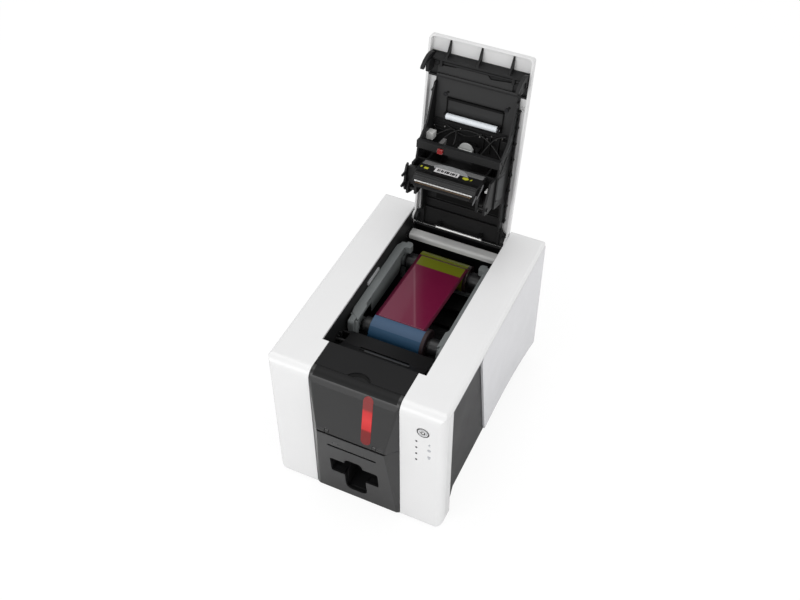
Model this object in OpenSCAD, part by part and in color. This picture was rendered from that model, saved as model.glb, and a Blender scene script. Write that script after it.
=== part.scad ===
// Desktop card printer with an open lid, a ribbon cassette and a front card feeder.
// Millimetres. +X is right seen from the front, +Y goes to the back, +Z is up.
// The origin is on the table, in the middle of the whole box with the lid open.

/* [Body] */
// Width of the case
body_w = 205; // [195:1:225]
// Depth of the case without the bulged front
body_d = 290; // [284:1:310]
// Height of the case above the table
body_h = 195; // [192:1:205]
// Thickness of the white covers
cover_t = 2.5; // [1.5:0.1:3]
// Radius of the upright front edges
corner_r = 9; // [5:0.5:14]
// Radius of the front top edge
top_r = 11; // [6:0.5:14]
// Radius of the long top edges at the sides
side_top_r = 4; // [3.2:0.1:6]
// Radius of the lower corners of the front covers
bottom_r = 10; // [5:0.5:14]
// Height of the front covers above the table
front_clear = 4; // [3:0.5:6]
// Seam between neighbouring covers
seam = 0.6; // [0.3:0.1:1]
// Distance from the middle of the case forward to the origin's plane
rest_shift = 10; // [6:0.5:14]

/* [Sides] */
// Height of the white strip along the top of each side
strip_h = 7; // [6:0.5:12]
// Depth of the white strip at the front of each side
strip_d = 21; // [16:1:30]
// Thickness of the dark inset panels
inset_t = 2; // [1.5:0.1:3]
// Distance from the front to the side panel's upper leading edge
lead_top_d = 98; // [80:1:120]
// Distance from the front to the side panel's lower leading edge
lead_low_d = 122; // [110:1:150]
// Radius of the side panel's upper leading corner
lead_r = 7; // [3:0.5:10]
// Height of the arch's crest under the side panels
arch_h = 43.6; // [38:0.1:50]
// Distance from the front to the arch's crest
arch_d = 155; // [140:1:170]
// Radius of the arch behind its crest
arch_r = 427; // [400:1:480]

/* [Base] */
// Height of the rubber feet
foot_h = 2; // [1.5:0.1:3]
// Radius of the rubber feet
foot_r = 8; // [5:0.5:10]
// Distance of the feet's middles in from the sides
foot_in = 32.5; // [29:0.5:46]
// Thickness of the base pan
pan_t = 2.5; // [2:0.1:4]
// Height of the base pan's rim above the table
pan_h = 42; // [41:0.5:46]
// How far the base pan's foot is drawn in at the sides
pan_taper = 14; // [8:1:18]

/* [Front] */
// Width of the black middle of the front
panel_w = 103.8; // [98:0.2:108]
// How far the front bulges at the seam under the door
bulge = 13; // [8:0.5:16]
// How far the front bulges at its foot and below the door's top edge
bulge_end = 1.5; // [0.5:0.1:3]
// Height of the seam under the door
seam_z = 119.4; // [116:0.1:124]
// Half width of the flat middle at the seam
crease_x = 39.5; // [36:0.5:44]
// Half width of the flat middle at the foot and at the top
crease_end_x = 48; // [45:0.5:49]
// Thickness of the front covers
front_t = 2.5; // [2:0.1:3]
// Half length of the manual card slot
card_slot_x = 29; // [28:0.5:32]
// Height of the manual card slot's middle above the table
card_slot_z = 99.3; // [96:0.1:104]
// Width of the manual card slot
card_slot_w = 3.2; // [2:0.1:3.8]
// Half width of the output opening
exit_x = 29; // [28:0.5:32]
// Height of the output opening's lower edge above the table
exit_z0 = 46; // [44:0.5:50]
// Height of the output opening's upper edge above the table
exit_z1 = 72; // [68:0.5:78]
// Half width of the finger lobe under the output opening
lobe_x = 13; // [10:0.5:18]
// Height of the finger lobe's lower end above the table
lobe_z0 = 18; // [14:0.5:24]
// Height of the dome over the output opening
dome_z1 = 80; // [79:0.5:88]

/* [Door] */
// Depth of the strip at the top of the door
door_top_d = 13.6; // [12.5:0.1:16]
// Radius of the door's rounded lower edge, round its pin
door_foot_r = 4; // [3:0.1:5]
// Radius of the door's pin
door_pin_r = 1.25; // [1:0.05:1.5]
// Middle of the window, sideways
window_x = 17.8; // [14:0.1:20]
// Width of the window
window_w = 11.2; // [8:0.1:14]
// Height of the window's lower end above the table
window_z0 = 126; // [125:0.5:132]
// Height of the window's upper end above the table
window_z1 = 190; // [180:0.5:191]

/* [Controls] */
// Distance of the power button's middle in from the side
button_in = 24.2; // [19:0.1:28]
// Height of the power button above the table
button_z = 165.4; // [160:0.1:172]
// Radius of the power button
button_r = 6.6; // [5:0.1:8]
// Gap round the power button
button_gap = 0.5; // [0.3:0.05:0.8]
// Travel of the power button
button_travel = 1.2; // [0.6:0.1:1.8]
// Distance of the row of lights in from the side
led_in = 31.5; // [27:0.1:34]
// Height of the highest light above the table
led_z = 148; // [144:0.5:152]
// Distance between lights
led_pitch = 10.4; // [8:0.1:11]
// Radius of the lights
led_r = 1.1; // [0.8:0.05:1.5]

/* [Lid] */
// Distance from the front to the lid's hinge
hinge_d = 278; // [276:0.5:280]
// Height of the lid's hinge above the table
hinge_z = 186; // [184:0.5:187]
// Angle of the open lid from its closed place
open_angle = 99.4; // [92:0.2:104]
// Length of the lid in front of its hinge
lid_len = 230; // [226:0.5:234]
// Length of the lid behind its hinge
lid_tail = 12; // [9:0.5:12]
// Width of the opening under the lid
opening_w = 120.6; // [119.6:0.2:124]
// Gap beside the lid
lid_gap = 0.8; // [0.5:0.1:1.2]
// Thickness of the lid's skin
lid_t = 2.5; // [2:0.1:3]
// Depth of the lid's rim
lid_rim = 9; // [8:0.5:10]
// Radius of the lid's tip
lid_tip_r = 7; // [4:0.5:8]
// Radius of the lid's hinge pins
pin_r = 3; // [2.5:0.1:3.5]
// Running clearance of every pin and shaft
run_gap = 0.05; // [0.02:0.01:0.09]
// Half width of the black frame inside the lid
frame_x = 49; // [48:0.1:49.4]
// Thickness of the black frame's floor and walls
frame_t = 2; // [1.5:0.1:2.4]

/* [Print head] */
// Distance from the hinge to the print line, along the closed lid
head_v = 91; // [88:0.5:94]
// Depth of the print line below the lid's outer face
head_w = 88; // [86:0.5:89]
// Half width of the print head
head_x = 38; // [34:0.5:40]
// Distance from the hinge to the print head's pivot
pivot_v = 72; // [70:0.5:74]
// Depth of the print head's pivot below the lid's outer face
pivot_w = 66; // [63:0.5:68]
// Radius of the print head's pivot pins
pivot_r = 2; // [1.5:0.1:2.5]

/* [Card path] */
// Radius of the platen roller
platen_r = 8; // [7:0.1:9]
// Radius of the feed rollers
feed_r = 7.5; // [6.5:0.1:8]
// Half length of the rubber on the rollers
rubber_x = 29; // [27:0.5:31]
// Radius of the roller shafts
shaft_r = 3; // [2.5:0.1:3.5]
// Gap between the print line and the platen
head_gap = 0.5; // [0.3:0.05:0.8]
// Module of the gears
gear_m = 1; // [0.95:0.01:1.02]
// Teeth of the roller gears
roller_teeth = 24; // [24:4:24]
// Teeth of the idler gears
idler_teeth = 32; // [32:4:32]
// Teeth of the motor's pinion
pinion_teeth = 12; // [12:4:12]
// Width of the gears
gear_w = 5; // [4:0.5:5.5]

/* [Ribbon] */
// Distance from the front to the take-up spool
takeup_d = 120; // [118:0.5:122]
// Height of the take-up spool above the table
takeup_z = 153; // [151:0.5:155]
// Radius of the wound film on the take-up spool
takeup_r = 18; // [14:0.5:18.5]
// Distance from the front to the supply spool
supply_d = 237; // [235:0.5:239]
// Height of the supply spool above the table
supply_z = 150; // [148:0.5:152]
// Radius of the wound film on the supply spool
supply_r = 16; // [12:0.5:16.5]
// Half width of the film
film_x = 31; // [29:0.5:32]
// Thickness of the film's solid
film_t = 0.3; // [0.2:0.05:0.4]
// Radius of the spool cores
core_r = 8; // [7:0.5:9]
// Radius of the spools' journals
journal_r = 5; // [4:0.5:6]
// Inner half width of the cassette
cassette_x = 50.5; // [50.2:0.1:51]
// Thickness of the cassette's side bars
cassette_t = 6.5; // [5:0.1:7.5]
// Height of the cassette's top above the table
cassette_z = 175; // [173:0.5:176]

/* [Hidden] */
// Places in the body
front_y = -body_d / 2 - rest_shift;
back_y = front_y + body_d;
half_w = body_w / 2;
inner_w = half_w - cover_t;
inset_x = inner_w - inset_t;
strip_z = body_h - strip_h;
panel_x = panel_w / 2;
wall_x = opening_w / 2;
wall_t = 2.5;
wall_out = wall_x + wall_t;
pan_floor = foot_h + pan_t;
pan_x = inset_x - 0.1;
pan_margin = 6;
pan_setback = 3;
pan_r = 6;
foot_x = half_w - foot_in;
foot_setback = 5;
foot_rear = 32;
button_x = half_w - button_in;
led_x = half_w - led_in;
touch = 0.02;
cut = 1;

// Side panels and insets
lead_drop = 1.5;
inset_lap = 7;
inset_z0 = 16;
inset_slope = 14;
inset_low = arch_h - 4;
inset_back_d = arch_d - 20;
inset_top = strip_z + 2;

// Places in the lid, along the closed lid
lid_x = wall_x - lid_gap;
lid_rise = body_h - hinge_z;
lid_front_d = hinge_d - lid_len;
hinge_y = front_y + hinge_d;
frame_w0 = lid_t + touch;
frame_w1 = frame_w0 + frame_t;
ear_r = 6;
ear_t = 4;
ear_x = lid_x - lid_t - ear_t;
pin_lap = 1;
deep_v0 = 62;
deep_v1 = 118;
deep_w = 46;

// Card path
axis_z = body_h - head_w - head_gap - platen_r;
platen_d = hinge_d - head_v;
gear_step = gear_m * (roller_teeth + idler_teeth) / 2;
front_feed_d = platen_d - 2 * gear_step;
rear_feed_d = platen_d + 2 * gear_step;
front_idler_d = platen_d - gear_step;
rear_idler_d = platen_d + gear_step;
pinion_drop = gear_m * (idler_teeth + pinion_teeth) / 2;
pinion_z = axis_z - pinion_drop;
gear_x = wall_out + 1;
stud_r = 2;
motor_x = gear_x + gear_w + 2.5;
motor_r = 14;
motor_len = inset_x - motor_x - 4.7;
motor_shaft_r = 1.5;
motor_shaft = 7;
flange_t = 1.5;
flange_lap = 4;
flange_down = 9;
flange_up = 5;
post_r = 2.5;
post_step = 10;
post_drop = 6;
stud_end = 1.5;
shaft_end = 1;
gear_fit = 0.02;

// Ribbon compartment
tub_z = 121;
tub_t = 2.5;
tub_d0 = takeup_d - 25;
tub_d1 = supply_d + 36;
ribbon_teeth = 20;
core_teeth = 24;
ribbon_gear_w = 2.4;
ribbon_gear_x = cassette_x - ribbon_gear_w - 0.8;
ribbon_drop = gear_m * (core_teeth + ribbon_teeth) / 2;
ribbon_gear_z = takeup_z - ribbon_drop;
ribbon_motor_x = wall_out + 2.6;
ribbon_motor_r = 11;
ribbon_motor_len = 20;
ribbon_motor_neck_r = 5;
ribbon_shaft = 5;
tub_back_z = 160;
tub_well_front = 20;
tub_well_back = 24;
tub_gear_slot = 13;

// Door
door_gap = 0.3;
door_pin_d = door_foot_r - bulge;
door_pin_z = seam_z + door_gap + door_foot_r;
door_half = panel_x - seam;
lug_x0 = 26;
lug_x1 = 30;
lug_gap = 0.5;
lug_half_d = 2.4;
knuckle_x = 35;
knuckle_half = 4;
door_pin_x = knuckle_x + knuckle_half;
door_back = 5;
door_top_skin = 6;
window_fit = 0.05;
window_proud = 0.3;

// Top cover between the door and the lid
edge_d = lid_front_d - seam;
slope_z0 = body_h - 12;
slot_d = 73;
slope_z1 = 170;
slope_z2 = 165;
pocket_x = 49.6;
pocket_d1 = 80;
catch_d = slot_d + 4.5;
catch_z = slope_z1 - 4;
catch_r = 2;
thumb_r = 15.5;
thumb_back = 40.5;
thumb_depth = 1.2;
slot_half_w = 1.5;
cheek_drop = 14;
lip_profile = [[-4.6, 1.6], [-1.6, 0.1], [-1.6, 1.6], [-4.6, 3.2]];

// Pockets beside the slot, with the bars that the lid's hooks catch
pocket_d0 = 52;
pocket_t = 2;
pocket_floor = slope_z1 - 24;
pocket_front_z = slope_z1 + 6;
pocket_back_z = slope_z2 - 10;

// Latch
latch_v = 201;
latch_w = 10;
latch_r = 2;
hook_x0 = 52;
hook_x1 = 56;
hook_points = [[-3.5, -3], [2, -4.5], [8.5, -3.5], [10.5, 4], [10, 12], [6.5, 20], [1.5, 26], [-1, 26.5], [-1, 23],
    [2.5, 21], [5, 15], [5, 8], [3, 3.5], [-3.5, 3.5]];
hook_side = 0.6;
latch_lug = [40, 43];
coil_x0 = 44;
coil_x1 = 49;
coil_t = 1;

// Card magazine and hopper
mag_x = 28;
bin_wall = 2;
wing_d = 54;
mag_d0 = 6;
mag_d1 = 88;
mag_floor_z = 122;
hop_x = exit_x + 1;
hop_d0 = 3;
hop_d1 = 84;
hop_z1 = 92;
hop_lobe_d = 26;
hop_floor = exit_z0 - 1;
pocket_gap = 0.5;
mag_roof = slope_z2 - 4;

// Head bracket and fan
bracket_t = 2.5;
bracket_x = frame_x - frame_t - touch;
bracket_v0 = 64;
bracket_v1 = 101;
bracket_w0 = 22;
bracket_w1 = 60;
bracket_rail = 34;
bracket_step = 2;
pivot_wall = 5;
head_top_w = 52;
head_back = 4;
head_low = 5;
head_front = 9;
carrier_t = 3;
cheek_t = 3;
head_deep = 18;
fin_count = 5;
fin_t = 2;
fin_pitch = 3;
label_t = 1;
blade_x = 32.5;
blade_back = 3;
blade_deep = 6;
blade_front = 3;
blade_tip = 1.5;
spring_w = 4.6;
spring_r = 3;
spring_t = 0.8;
spring_x = 22;
spring_v = [78, 92];
lever_x = bracket_x + 0.3;
lever_t = 2.4;
well_x = lever_x + lever_t + 0.8;
fan_v0 = 104;
fan_t = 7;
fan_half = 14;
fan_w = 23;
fan_r = 11.5;
hub_r = 8;
lid_roller_v = 140;
lid_roller_w = 11.5;
lid_roller_r = 3.5;
lid_roller_x = 30;
lid_axle_r = 1.5;
fan_wall = 1;
fan_gap = 0.6;
fan_axle_r = 1.5;
fan_post = 6;
blade_t = 1;
blades = 7;

// Ports at the back
inlet_x = -(wall_out + inner_w) / 2;
inlet_z = 62;
inlet_hole_r = 5;
inlet_half = 7;
inlet_deep = 14;
inlet_bore = 9;
inlet_r = 4.8;
inlet_bore_r = 3.4;
inlet_pin_r = 1;
usb_x = -wall_x + 12.3;
lan_x = usb_x + 24;
port_z = 58;
port_deep = 16;
port_fit = 0.2;
// Each port: its middle, the half width and half height of its shell, and those of its socket.
usb_port = [usb_x, 6, 5.4, 4.4, 4];
lan_port = [lan_x, 8, 6.8, 6, 4.1];
socket_deep = 10;
port_set = 0.3;
port_lap = 2;
vent_x = half_w - 44.5;
vent_pitch = 7;
vent_half = 1.5;
vent_z0 = 60;
vent_z1 = 110;
rear_z0 = 24;
tail_drop = 18;

// Main board, on posts on the right chassis wall
main_x = wall_out + 6;
main_t = 1.6;
main_d0 = 128;
main_d1 = main_d0 + 134;
main_z0 = 34;
main_z1 = main_z0 + 78;
main_in = 6;
chip_d = 42;
chip_z = 26;
chip_w = 22;
chip_t = 2;
header_d = 82;
header_z = 10;
header_w = 30;
header_h = 8;
header_t = 7.4;
can_d = [18, 28];
can_r = 4;
can_h = 9.4;
can_drop = 16;

// Controls behind the right front cover
guide_d0 = 6.5;
guide_d1 = 8.5;
guide_half = 11;
guide_leg = 9.5;
guide_leg_half = 1.2;
guide_leg_z = 4;
stem_r = 2;
button_proud = 0.4;
button_d = 4;
led_proud = 0.2;
led_gap = 0.1;
board_d = 13;
board_t = 1.6;
board_half = 14;
board_top = led_z + 6;
board_foot = led_z - 3 * led_pitch - 8;
board_posts = [board_foot + 4, board_top - 4];
board_post_x = 8;
board_post_r = 2.6;
board_hole_r = 1.6;

// Cassette
cassette_out = cassette_x + cassette_t;
tie_gap = 1;
tie_t = 2.5;
tie_h = 5;
tie_front_d = takeup_d - takeup_r - tie_gap - tie_t;
tie_rear_d = supply_d - tie_t / 2;
tie_front_z = takeup_z - 14;
tie_rear_z = tub_z + 0.6;
rail_h = 11;
rail_end = 0.5;
rail_foot = 8;
hub_wall = 3;
rail_cap = 8;
rail_over = 5;
tab_x = 2.2;
tab_front = 10;
tab_back = 6;
tab_z1 = cassette_z - 1;
tab_z0 = cassette_z - 4;
flange_x = 2;
journal_end = 0.5;
web_lift = 0.2;

// Reader for the cassette, high on the left wall
reader_d0 = 154;
reader_d1 = 182;
reader_z0 = 178;
reader_z1 = 182;
reader_t = 1.6;

// Guide under the card
guide_top = axis_z + platen_r - 0.8;
guide_t = 2;
guide_rail_h = 3;
guide_rail_t = 2;
guide_front_d = mag_d1 + 4;
guide_back_d = body_d - 14;
guide_gap = 1.5;
shaft_gap = 1;

// Chassis walls
wall_front_d = 50;
wall_back_in = 6;
wall_foot_in = 16;
wall_low = slope_z0 - 20;
wall_low_drop = 12;
bar_d0 = hinge_d - 18;
bar_d1 = hinge_d - 5;
bar_z0 = slope_z2 - 3;
bar_z1 = slope_z2 + 5;

// Side walls of the black frame: shallow at both ends, deep between the spools.
frame_v0 = 14;
apron_v = -8.5;
apron_w = 9;
tip_v0 = 182;
tip_v1 = 206.5;
wide_gap = 0.5;
ledge_v = tip_v1 + 3;
ledge_w = 15;
step_w = 8;
shelf_v0 = 112;
shelf_v1 = 121;
shelf_w = 40;
floor_steps = [26, 40];
floor_step_w = 7.5;
rib_t = 1.6;
recess_v = [134, 158];
recess_x = 33;
gusset_x = [-36, 0, 36];
gusset_half = 1;
gusset_v = 225;
side_ribs = [24, 44, 64, 84, 104, 124, 144, 164];
side_rib_x = 3;
side_rib_w = 9;
roller_lug = 3;
lug_t = 2;
rod_r = 1.2;
rod_x = 30;
rod_v = -3.5;
rod_w = 13;
rod_lug = 3;
screw_x = 36;
screw_v = [162.5, 54];
screw_r = 2.2;
screw_h = 1.5;
pivot_pin_end = 1;
shell_edge_r = 3;

// Flat cable: points of its run behind the head bracket, as distances from it and depths
cable_x = 15;
plug_x = 8;
tag_x = 17;
cable_t = 0.5;
cable_path = [[-20, frame_w1 + touch], [-8, frame_w1 + touch], [-3, 12], [-2.5, 40], [-touch, deep_w - cable_t]];
frame_profile = [[frame_v0, frame_w0], [frame_v0, 16], [56, 20], [deep_v0, deep_w], [deep_v1 - 22, deep_w],
    [deep_v1, 42], [133, 23], [tip_v0 - 6, 10], [tip_v0 - 6, frame_w0]];

$fn = 48;

// ---- Shape helpers ----

function fy(d) = front_y + d;

// Points of an arc from angle a0 to angle a1.
function arc(c, r, a0, a1, n = 6) =
    [for (i = [0:n]) c + r * [cos(a0 + (a1 - a0) * i / n), sin(a0 + (a1 - a0) * i / n)]];

// A rectangle with its own radius at each corner: lower left, lower right, upper right, upper left.
module panel2d(p0, p1, r) {
    corners = [[p0, [1, 1]], [[p1[0], p0[1]], [-1, 1]], [p1, [-1, -1]], [[p0[0], p1[1]], [1, -1]]];
    difference() {
        translate(p0) square(p1 - p0);
        for (i = [0:3])
            if (r[i] > 0) {
                corner = corners[i][0];
                centre = corner + r[i] * corners[i][1];
                difference() {
                    translate([min(corner[0], centre[0]), min(corner[1], centre[1])]) square(r[i]);
                    translate(centre) circle(r[i]);
                }
            }
    }
}

module box(p0, p1) {
    translate(p0) cube(p1 - p0);
}

// A (Y, Z) outline drawn out from x0 to x1.
module along_x(x0, x1) {
    translate([x0, 0, 0]) rotate([90, 0, 90]) linear_extrude(x1 - x0) children();
}

// An (X, Z) outline drawn out from y0 to y1.
module along_y(y0, y1) {
    translate([0, y1, 0]) rotate([90, 0, 0]) linear_extrude(y1 - y0) children();
}

module along_z(z0, z1) {
    translate([0, 0, z0]) linear_extrude(z1 - z0) children();
}

module x_rod(r, x0, x1, y, z) {
    translate([x0, y, z]) rotate([0, 90, 0]) cylinder(r = r, h = x1 - x0);
}

module y_rod(r, y0, y1, x, z) {
    translate([x, y0, z]) rotate([-90, 0, 0]) cylinder(r = r, h = y1 - y0);
}

module both_sides() {
    children();
    mirror([1, 0, 0]) children();
}

// A spur gear round the X axis, with one tooth towards +Y when turn is 0.
module gear(teeth, width, bore_r, turn = 0) {
    root = gear_m * (teeth / 2 - 1.2);
    tip = gear_m * (teeth / 2 + 0.85);
    pitch = 360 / teeth;
    rotate([90, 0, 90])
        linear_extrude(width)
            difference() {
                rotate(turn)
                    polygon([for (i = [0:teeth - 1], k = [[root, -0.29], [tip, -0.1], [tip, 0.1], [root, 0.29]])
                        k[0] * [cos((i + k[1]) * pitch), sin((i + k[1]) * pitch)]]);
                circle(bore_r);
            }
}

// Places children drawn in the closed lid, with the hinge at the origin, at the open angle.
module on_lid() {
    translate([0, hinge_y, hinge_z]) rotate([-open_angle, 0, 0]) children();
}

// A box in the lid: v runs from the hinge to the tip, w runs down from the outer face.
module lid_box(x0, x1, v0, v1, w0, w1) {
    box([x0, -v1, lid_rise - w1], [x1, -v0, lid_rise - w0]);
}

module lid_rod(r, x0, x1, v, w) {
    x_rod(r, x0, x1, -v, lid_rise - w);
}

// A (v, w) outline in the lid, drawn out from x0 to x1.
module lid_plate(x0, x1, points) {
    along_x(x0, x1) polygon([for (p = points) [-p[0], lid_rise - p[1]]]);
}

// ---- Case ----

// The case's outer form, drawn in by an inset on every side.
module case_block(inset) {
    x = half_w - inset;
    y0 = front_y + inset;
    y1 = back_y - inset;
    z0 = front_clear + inset;
    z1 = body_h - inset;
    intersection() {
        along_x(-x, x) panel2d([y0, z0], [y1, z1], [0, 0, side_top_r - inset, top_r - inset]);
        along_z(z0, z1)
            panel2d([-x, y0], [x, y1], [corner_r - inset, corner_r - inset, side_top_r - inset, side_top_r - inset]);
        along_y(y0, y1)
            panel2d([-x, z0], [x, z1], [bottom_r - inset, bottom_r - inset, side_top_r - inset, side_top_r - inset]);
    }
}

// The white cover of the right side: front, top rail and the strips round the side.
module side_cover() {
    far = body_d + cut;
    difference() {
        case_block(0);
        case_block(cover_t);
        box([-half_w - cut, front_y - cut, 0], [panel_x, fy(edge_d), body_h + cut]);
        box([-half_w - cut, fy(edge_d) - touch, 0], [wall_x, fy(far), body_h + cut]);
        box([0, fy(strip_d), 0], [half_w + cut, fy(far), strip_z]);
    }
}

module left_cover() {
    color("#efeff0") mirror([1, 0, 0]) side_cover();
}

module right_cover() {
    color("#efeff0")
        difference() {
            side_cover();
            y_rod(button_r + button_gap, front_y - cut, fy(cover_t) + cut, button_x, button_z);
            for (i = [0:3])
                y_rod(led_r + led_gap, front_y - cut, fy(cover_t) + cut, led_x, led_z - i * led_pitch);
        }
}

// The side panel's outline: a leaning front edge, and an arch along its foot.
module side_outline() {
    arch_end = asin((body_d - arch_d) / arch_r);
    arch_c = [fy(arch_d), arch_h - arch_r];
    top = strip_z - seam;
    polygon(concat(
        [[fy(lead_low_d), arch_h - lead_drop]],
        arc(arch_c, arch_r, 90, 90 - arch_end, 16),
        [[back_y, top]],
        arc([fy(lead_top_d) + lead_r, top - lead_r], lead_r, 90, 180, 6)));
}

module side_panel() {
    along_x(inner_w + touch, half_w) side_outline();
}

module left_side_panel() {
    color("#dedee2") mirror([1, 0, 0]) side_panel();
}

module right_side_panel() {
    color("#dedee2") side_panel();
}

// The dark inset runs from behind the front strip to behind the side panel.
module side_inset() {
    along_x(inset_x, inner_w)
        polygon([[fy(strip_d - inset_lap), inset_z0], [fy(strip_d), inset_z0], [fy(strip_d + inset_slope), inset_low],
            [fy(inset_back_d), inset_low], [fy(inset_back_d), inset_top], [fy(strip_d - inset_lap), inset_top]]);
}

module left_side_inset() {
    color("#4e4e4e") mirror([1, 0, 0]) side_inset();
}

module right_side_inset() {
    color("#4e4e4e") side_inset();
}

// The rear panel, with a low middle where the lid's tail swings down.
module rear_panel() {
    color("#3a3a3c")
        difference() {
            box([-inner_w, back_y - wall_t, rear_z0], [inner_w, back_y, strip_z - seam]);
            box([-wall_out, back_y - wall_t - cut, hinge_z - tail_drop], [wall_out, back_y + cut, body_h]);
            y_rod(inlet_hole_r, back_y - wall_t - cut, back_y + cut, inlet_x, inlet_z);
            for (port = [usb_port, lan_port])
                box([port[0] - port[1] - port_fit, back_y - wall_t - cut, port_z - port[2] - port_fit],
                    [port[0] + port[1] + port_fit, back_y + cut, port_z + port[2] + port_fit]);
            for (i = [-4:4])
                box([vent_x + i * vent_pitch - vent_half, back_y - wall_t - cut, vent_z0],
                    [vent_x + i * vent_pitch + vent_half, back_y + cut, vent_z1]);
        }
}

// The base pan: a tray whose sides lean inwards to the foot.
module pan_form(inset, floor_z) {
    hull() {
        along_z(floor_z, floor_z + 1)
            panel2d([-pan_x + pan_taper + inset, fy(strip_d + pan_setback) + inset],
                [pan_x - pan_taper - inset, back_y - wall_t - pan_margin - inset], [pan_r, pan_r, pan_r, pan_r]);
        along_z(pan_h - 1, pan_h)
            panel2d([-pan_x + inset, fy(pan_margin) + inset], [pan_x - inset, back_y - wall_t - touch - inset],
                [pan_r, pan_r, pan_r, pan_r]);
    }
}

module base_pan() {
    color("#2c2c2e")
        difference() {
            pan_form(0, foot_h);
            difference() {
                translate([0, 0, touch]) pan_form(pan_t, pan_floor);
                box([-half_w, front_y, 0], [half_w, back_y, pan_floor]);
            }
            // Room for the hopper's finger pocket
            box([-lobe_x - bin_wall - pocket_gap, front_y, lobe_z0 - bin_wall - pocket_gap],
                [lobe_x + bin_wall + pocket_gap, fy(hop_lobe_d + bin_wall + pocket_gap), pan_h + cut]);
        }
}

module rubber_feet() {
    color("#1a1a1a")
        for (d = [strip_d + foot_r + foot_setback, body_d - foot_rear])
            both_sides() translate([foot_x, fy(d), 0]) cylinder(r = foot_r, h = foot_h);
}

// ---- Front ----

// A level slice of the bulged front, from its face back to depth d.
module front_slice(z, crease, out, half, back_d, inset) {
    along_z(z, z + touch)
        polygon([[-half + inset, fy(back_d)], [-half + inset, front_y + inset], [-crease + inset, front_y - out + inset],
            [crease - inset, front_y - out + inset], [half - inset, front_y + inset], [half - inset, fy(back_d)]]);
}

module lower_front_form(inset, back_d) {
    z0 = front_clear + inset;
    z1 = seam_z - inset;
    hull() {
        front_slice(z0, crease_end_x, bulge_end, door_half, back_d, inset);
        front_slice(z1 - touch, crease_x, bulge, door_half, back_d, inset);
    }
}

// The output opening: a wide slot with a dome above and a finger lobe below.
module exit_outline() {
    panel2d([-exit_x, exit_z0], [exit_x, exit_z1], [2, 2, 3, 3]);
    panel2d([-lobe_x, lobe_z0], [lobe_x, exit_z0 + 5], [8, 8, 0, 0]);
    panel2d([-lobe_x + 2, exit_z1 - 5], [lobe_x - 2, dome_z1], [0, 0, 6, 6]);
}

module lower_front_panel() {
    color("#333334")
        difference() {
            union() {
                difference() {
                    lower_front_form(0, door_back);
                    lower_front_form(front_t, door_back + cut);
                }
                for (s = [-1, 1]) translate([s * (lug_x0 + lug_x1) / 2, 0, 0]) hinge_lug();
            }
            along_y(front_y - bulge - cut, fy(door_back))
                panel2d([-card_slot_x, card_slot_z - card_slot_w / 2], [card_slot_x, card_slot_z + card_slot_w / 2],
                    [1, 1, 1, 1]);
            along_y(front_y - bulge - cut, fy(door_back) + cut) exit_outline();
            x_rod(door_pin_r + run_gap, -lug_x1 - cut, lug_x1 + cut, fy(door_pin_d), door_pin_z);
        }
}

// A lug that stands up from the lower panel into the door's foot.
module hinge_lug() {
    half = (lug_x1 - lug_x0) / 2;
    x_rod(door_foot_r - door_gap, -half, half, fy(door_pin_d), door_pin_z);
    box([-half, fy(door_pin_d) - lug_half_d, seam_z - lug_gap], [half, fy(door_pin_d) + lug_half_d, door_pin_z]);
}

module door_form(inset, back_d) {
    top_c = body_h - top_r;
    hull() {
        front_slice(seam_z + door_gap + inset, crease_x, bulge, door_half, back_d, inset);
        front_slice(top_c - touch, crease_end_x, bulge_end, door_half, back_d, inset);
        intersection() {
            x_rod(top_r - inset, -door_half + inset, door_half - inset, fy(top_r), top_c, $fn = 64);
            box([-door_half, fy(-bulge), top_c - top_r], [door_half, fy(top_r), body_h]);
        }
        box([-door_half + inset, fy(top_r), top_c], [door_half - inset, fy(back_d), body_h - inset]);
    }
}

module window_outline(grow) {
    r = window_w / 2 + grow;
    translate([window_x, window_z0 + window_w / 2]) circle(r);
    translate([window_x, window_z1 - window_w / 2]) circle(r);
    translate([window_x - r, window_z0 + window_w / 2]) square([2 * r, window_z1 - window_z0 - window_w]);
}

module feeder_door() {
    color("#3a3a3a")
        difference() {
            union() {
                difference() {
                    door_form(0, door_top_d);
                    door_form(front_t, door_top_d + cut);
                    // The back of the door is open below the top strip.
                    box([-door_half - cut, fy(door_back), 0],
                        [door_half + cut, fy(door_top_d) + cut, body_h - top_r - door_top_skin]);
                }
                for (s = [-1, 1])
                    x_rod(door_foot_r - door_gap, s * knuckle_x - knuckle_half, s * knuckle_x + knuckle_half,
                        fy(door_pin_d), door_pin_z);
            }
            // The lower edge is round, so that it turns clear of the panel below.
            difference() {
                box([-door_half - cut, fy(-bulge) - cut, seam_z], [door_half + cut, fy(door_pin_d), door_pin_z]);
                x_rod(door_foot_r, -door_half - cut, door_half + cut, fy(door_pin_d), door_pin_z);
            }
            for (s = [-1, 1])
                translate([s * (lug_x0 + lug_x1) / 2, 0, 0]) {
                    half = (lug_x1 - lug_x0) / 2 + lug_gap;
                    x_rod(door_foot_r + seam, -half, half, fy(door_pin_d), door_pin_z);
                    box([-half, fy(-bulge) - cut, seam_z], [half, fy(door_pin_d) + 2 * lug_half_d, door_pin_z]);
                }
            x_rod(door_pin_r + run_gap, -door_pin_x - cut, door_pin_x + cut, fy(door_pin_d), door_pin_z);
            along_y(front_y - bulge - cut, fy(door_back) + cut) window_outline(window_fit);
        }
}

module door_window() {
    color("#d42a33")
        intersection() {
            difference() {
                door_form(-window_proud, door_top_d);
                door_form(front_t, door_top_d + cut);
            }
            along_y(front_y - bulge - cut, fy(door_back)) window_outline(0);
        }
}

module door_pin() {
    color("#b8b8b8") x_rod(door_pin_r, -door_pin_x, door_pin_x, fy(door_pin_d), door_pin_z);
}

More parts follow.
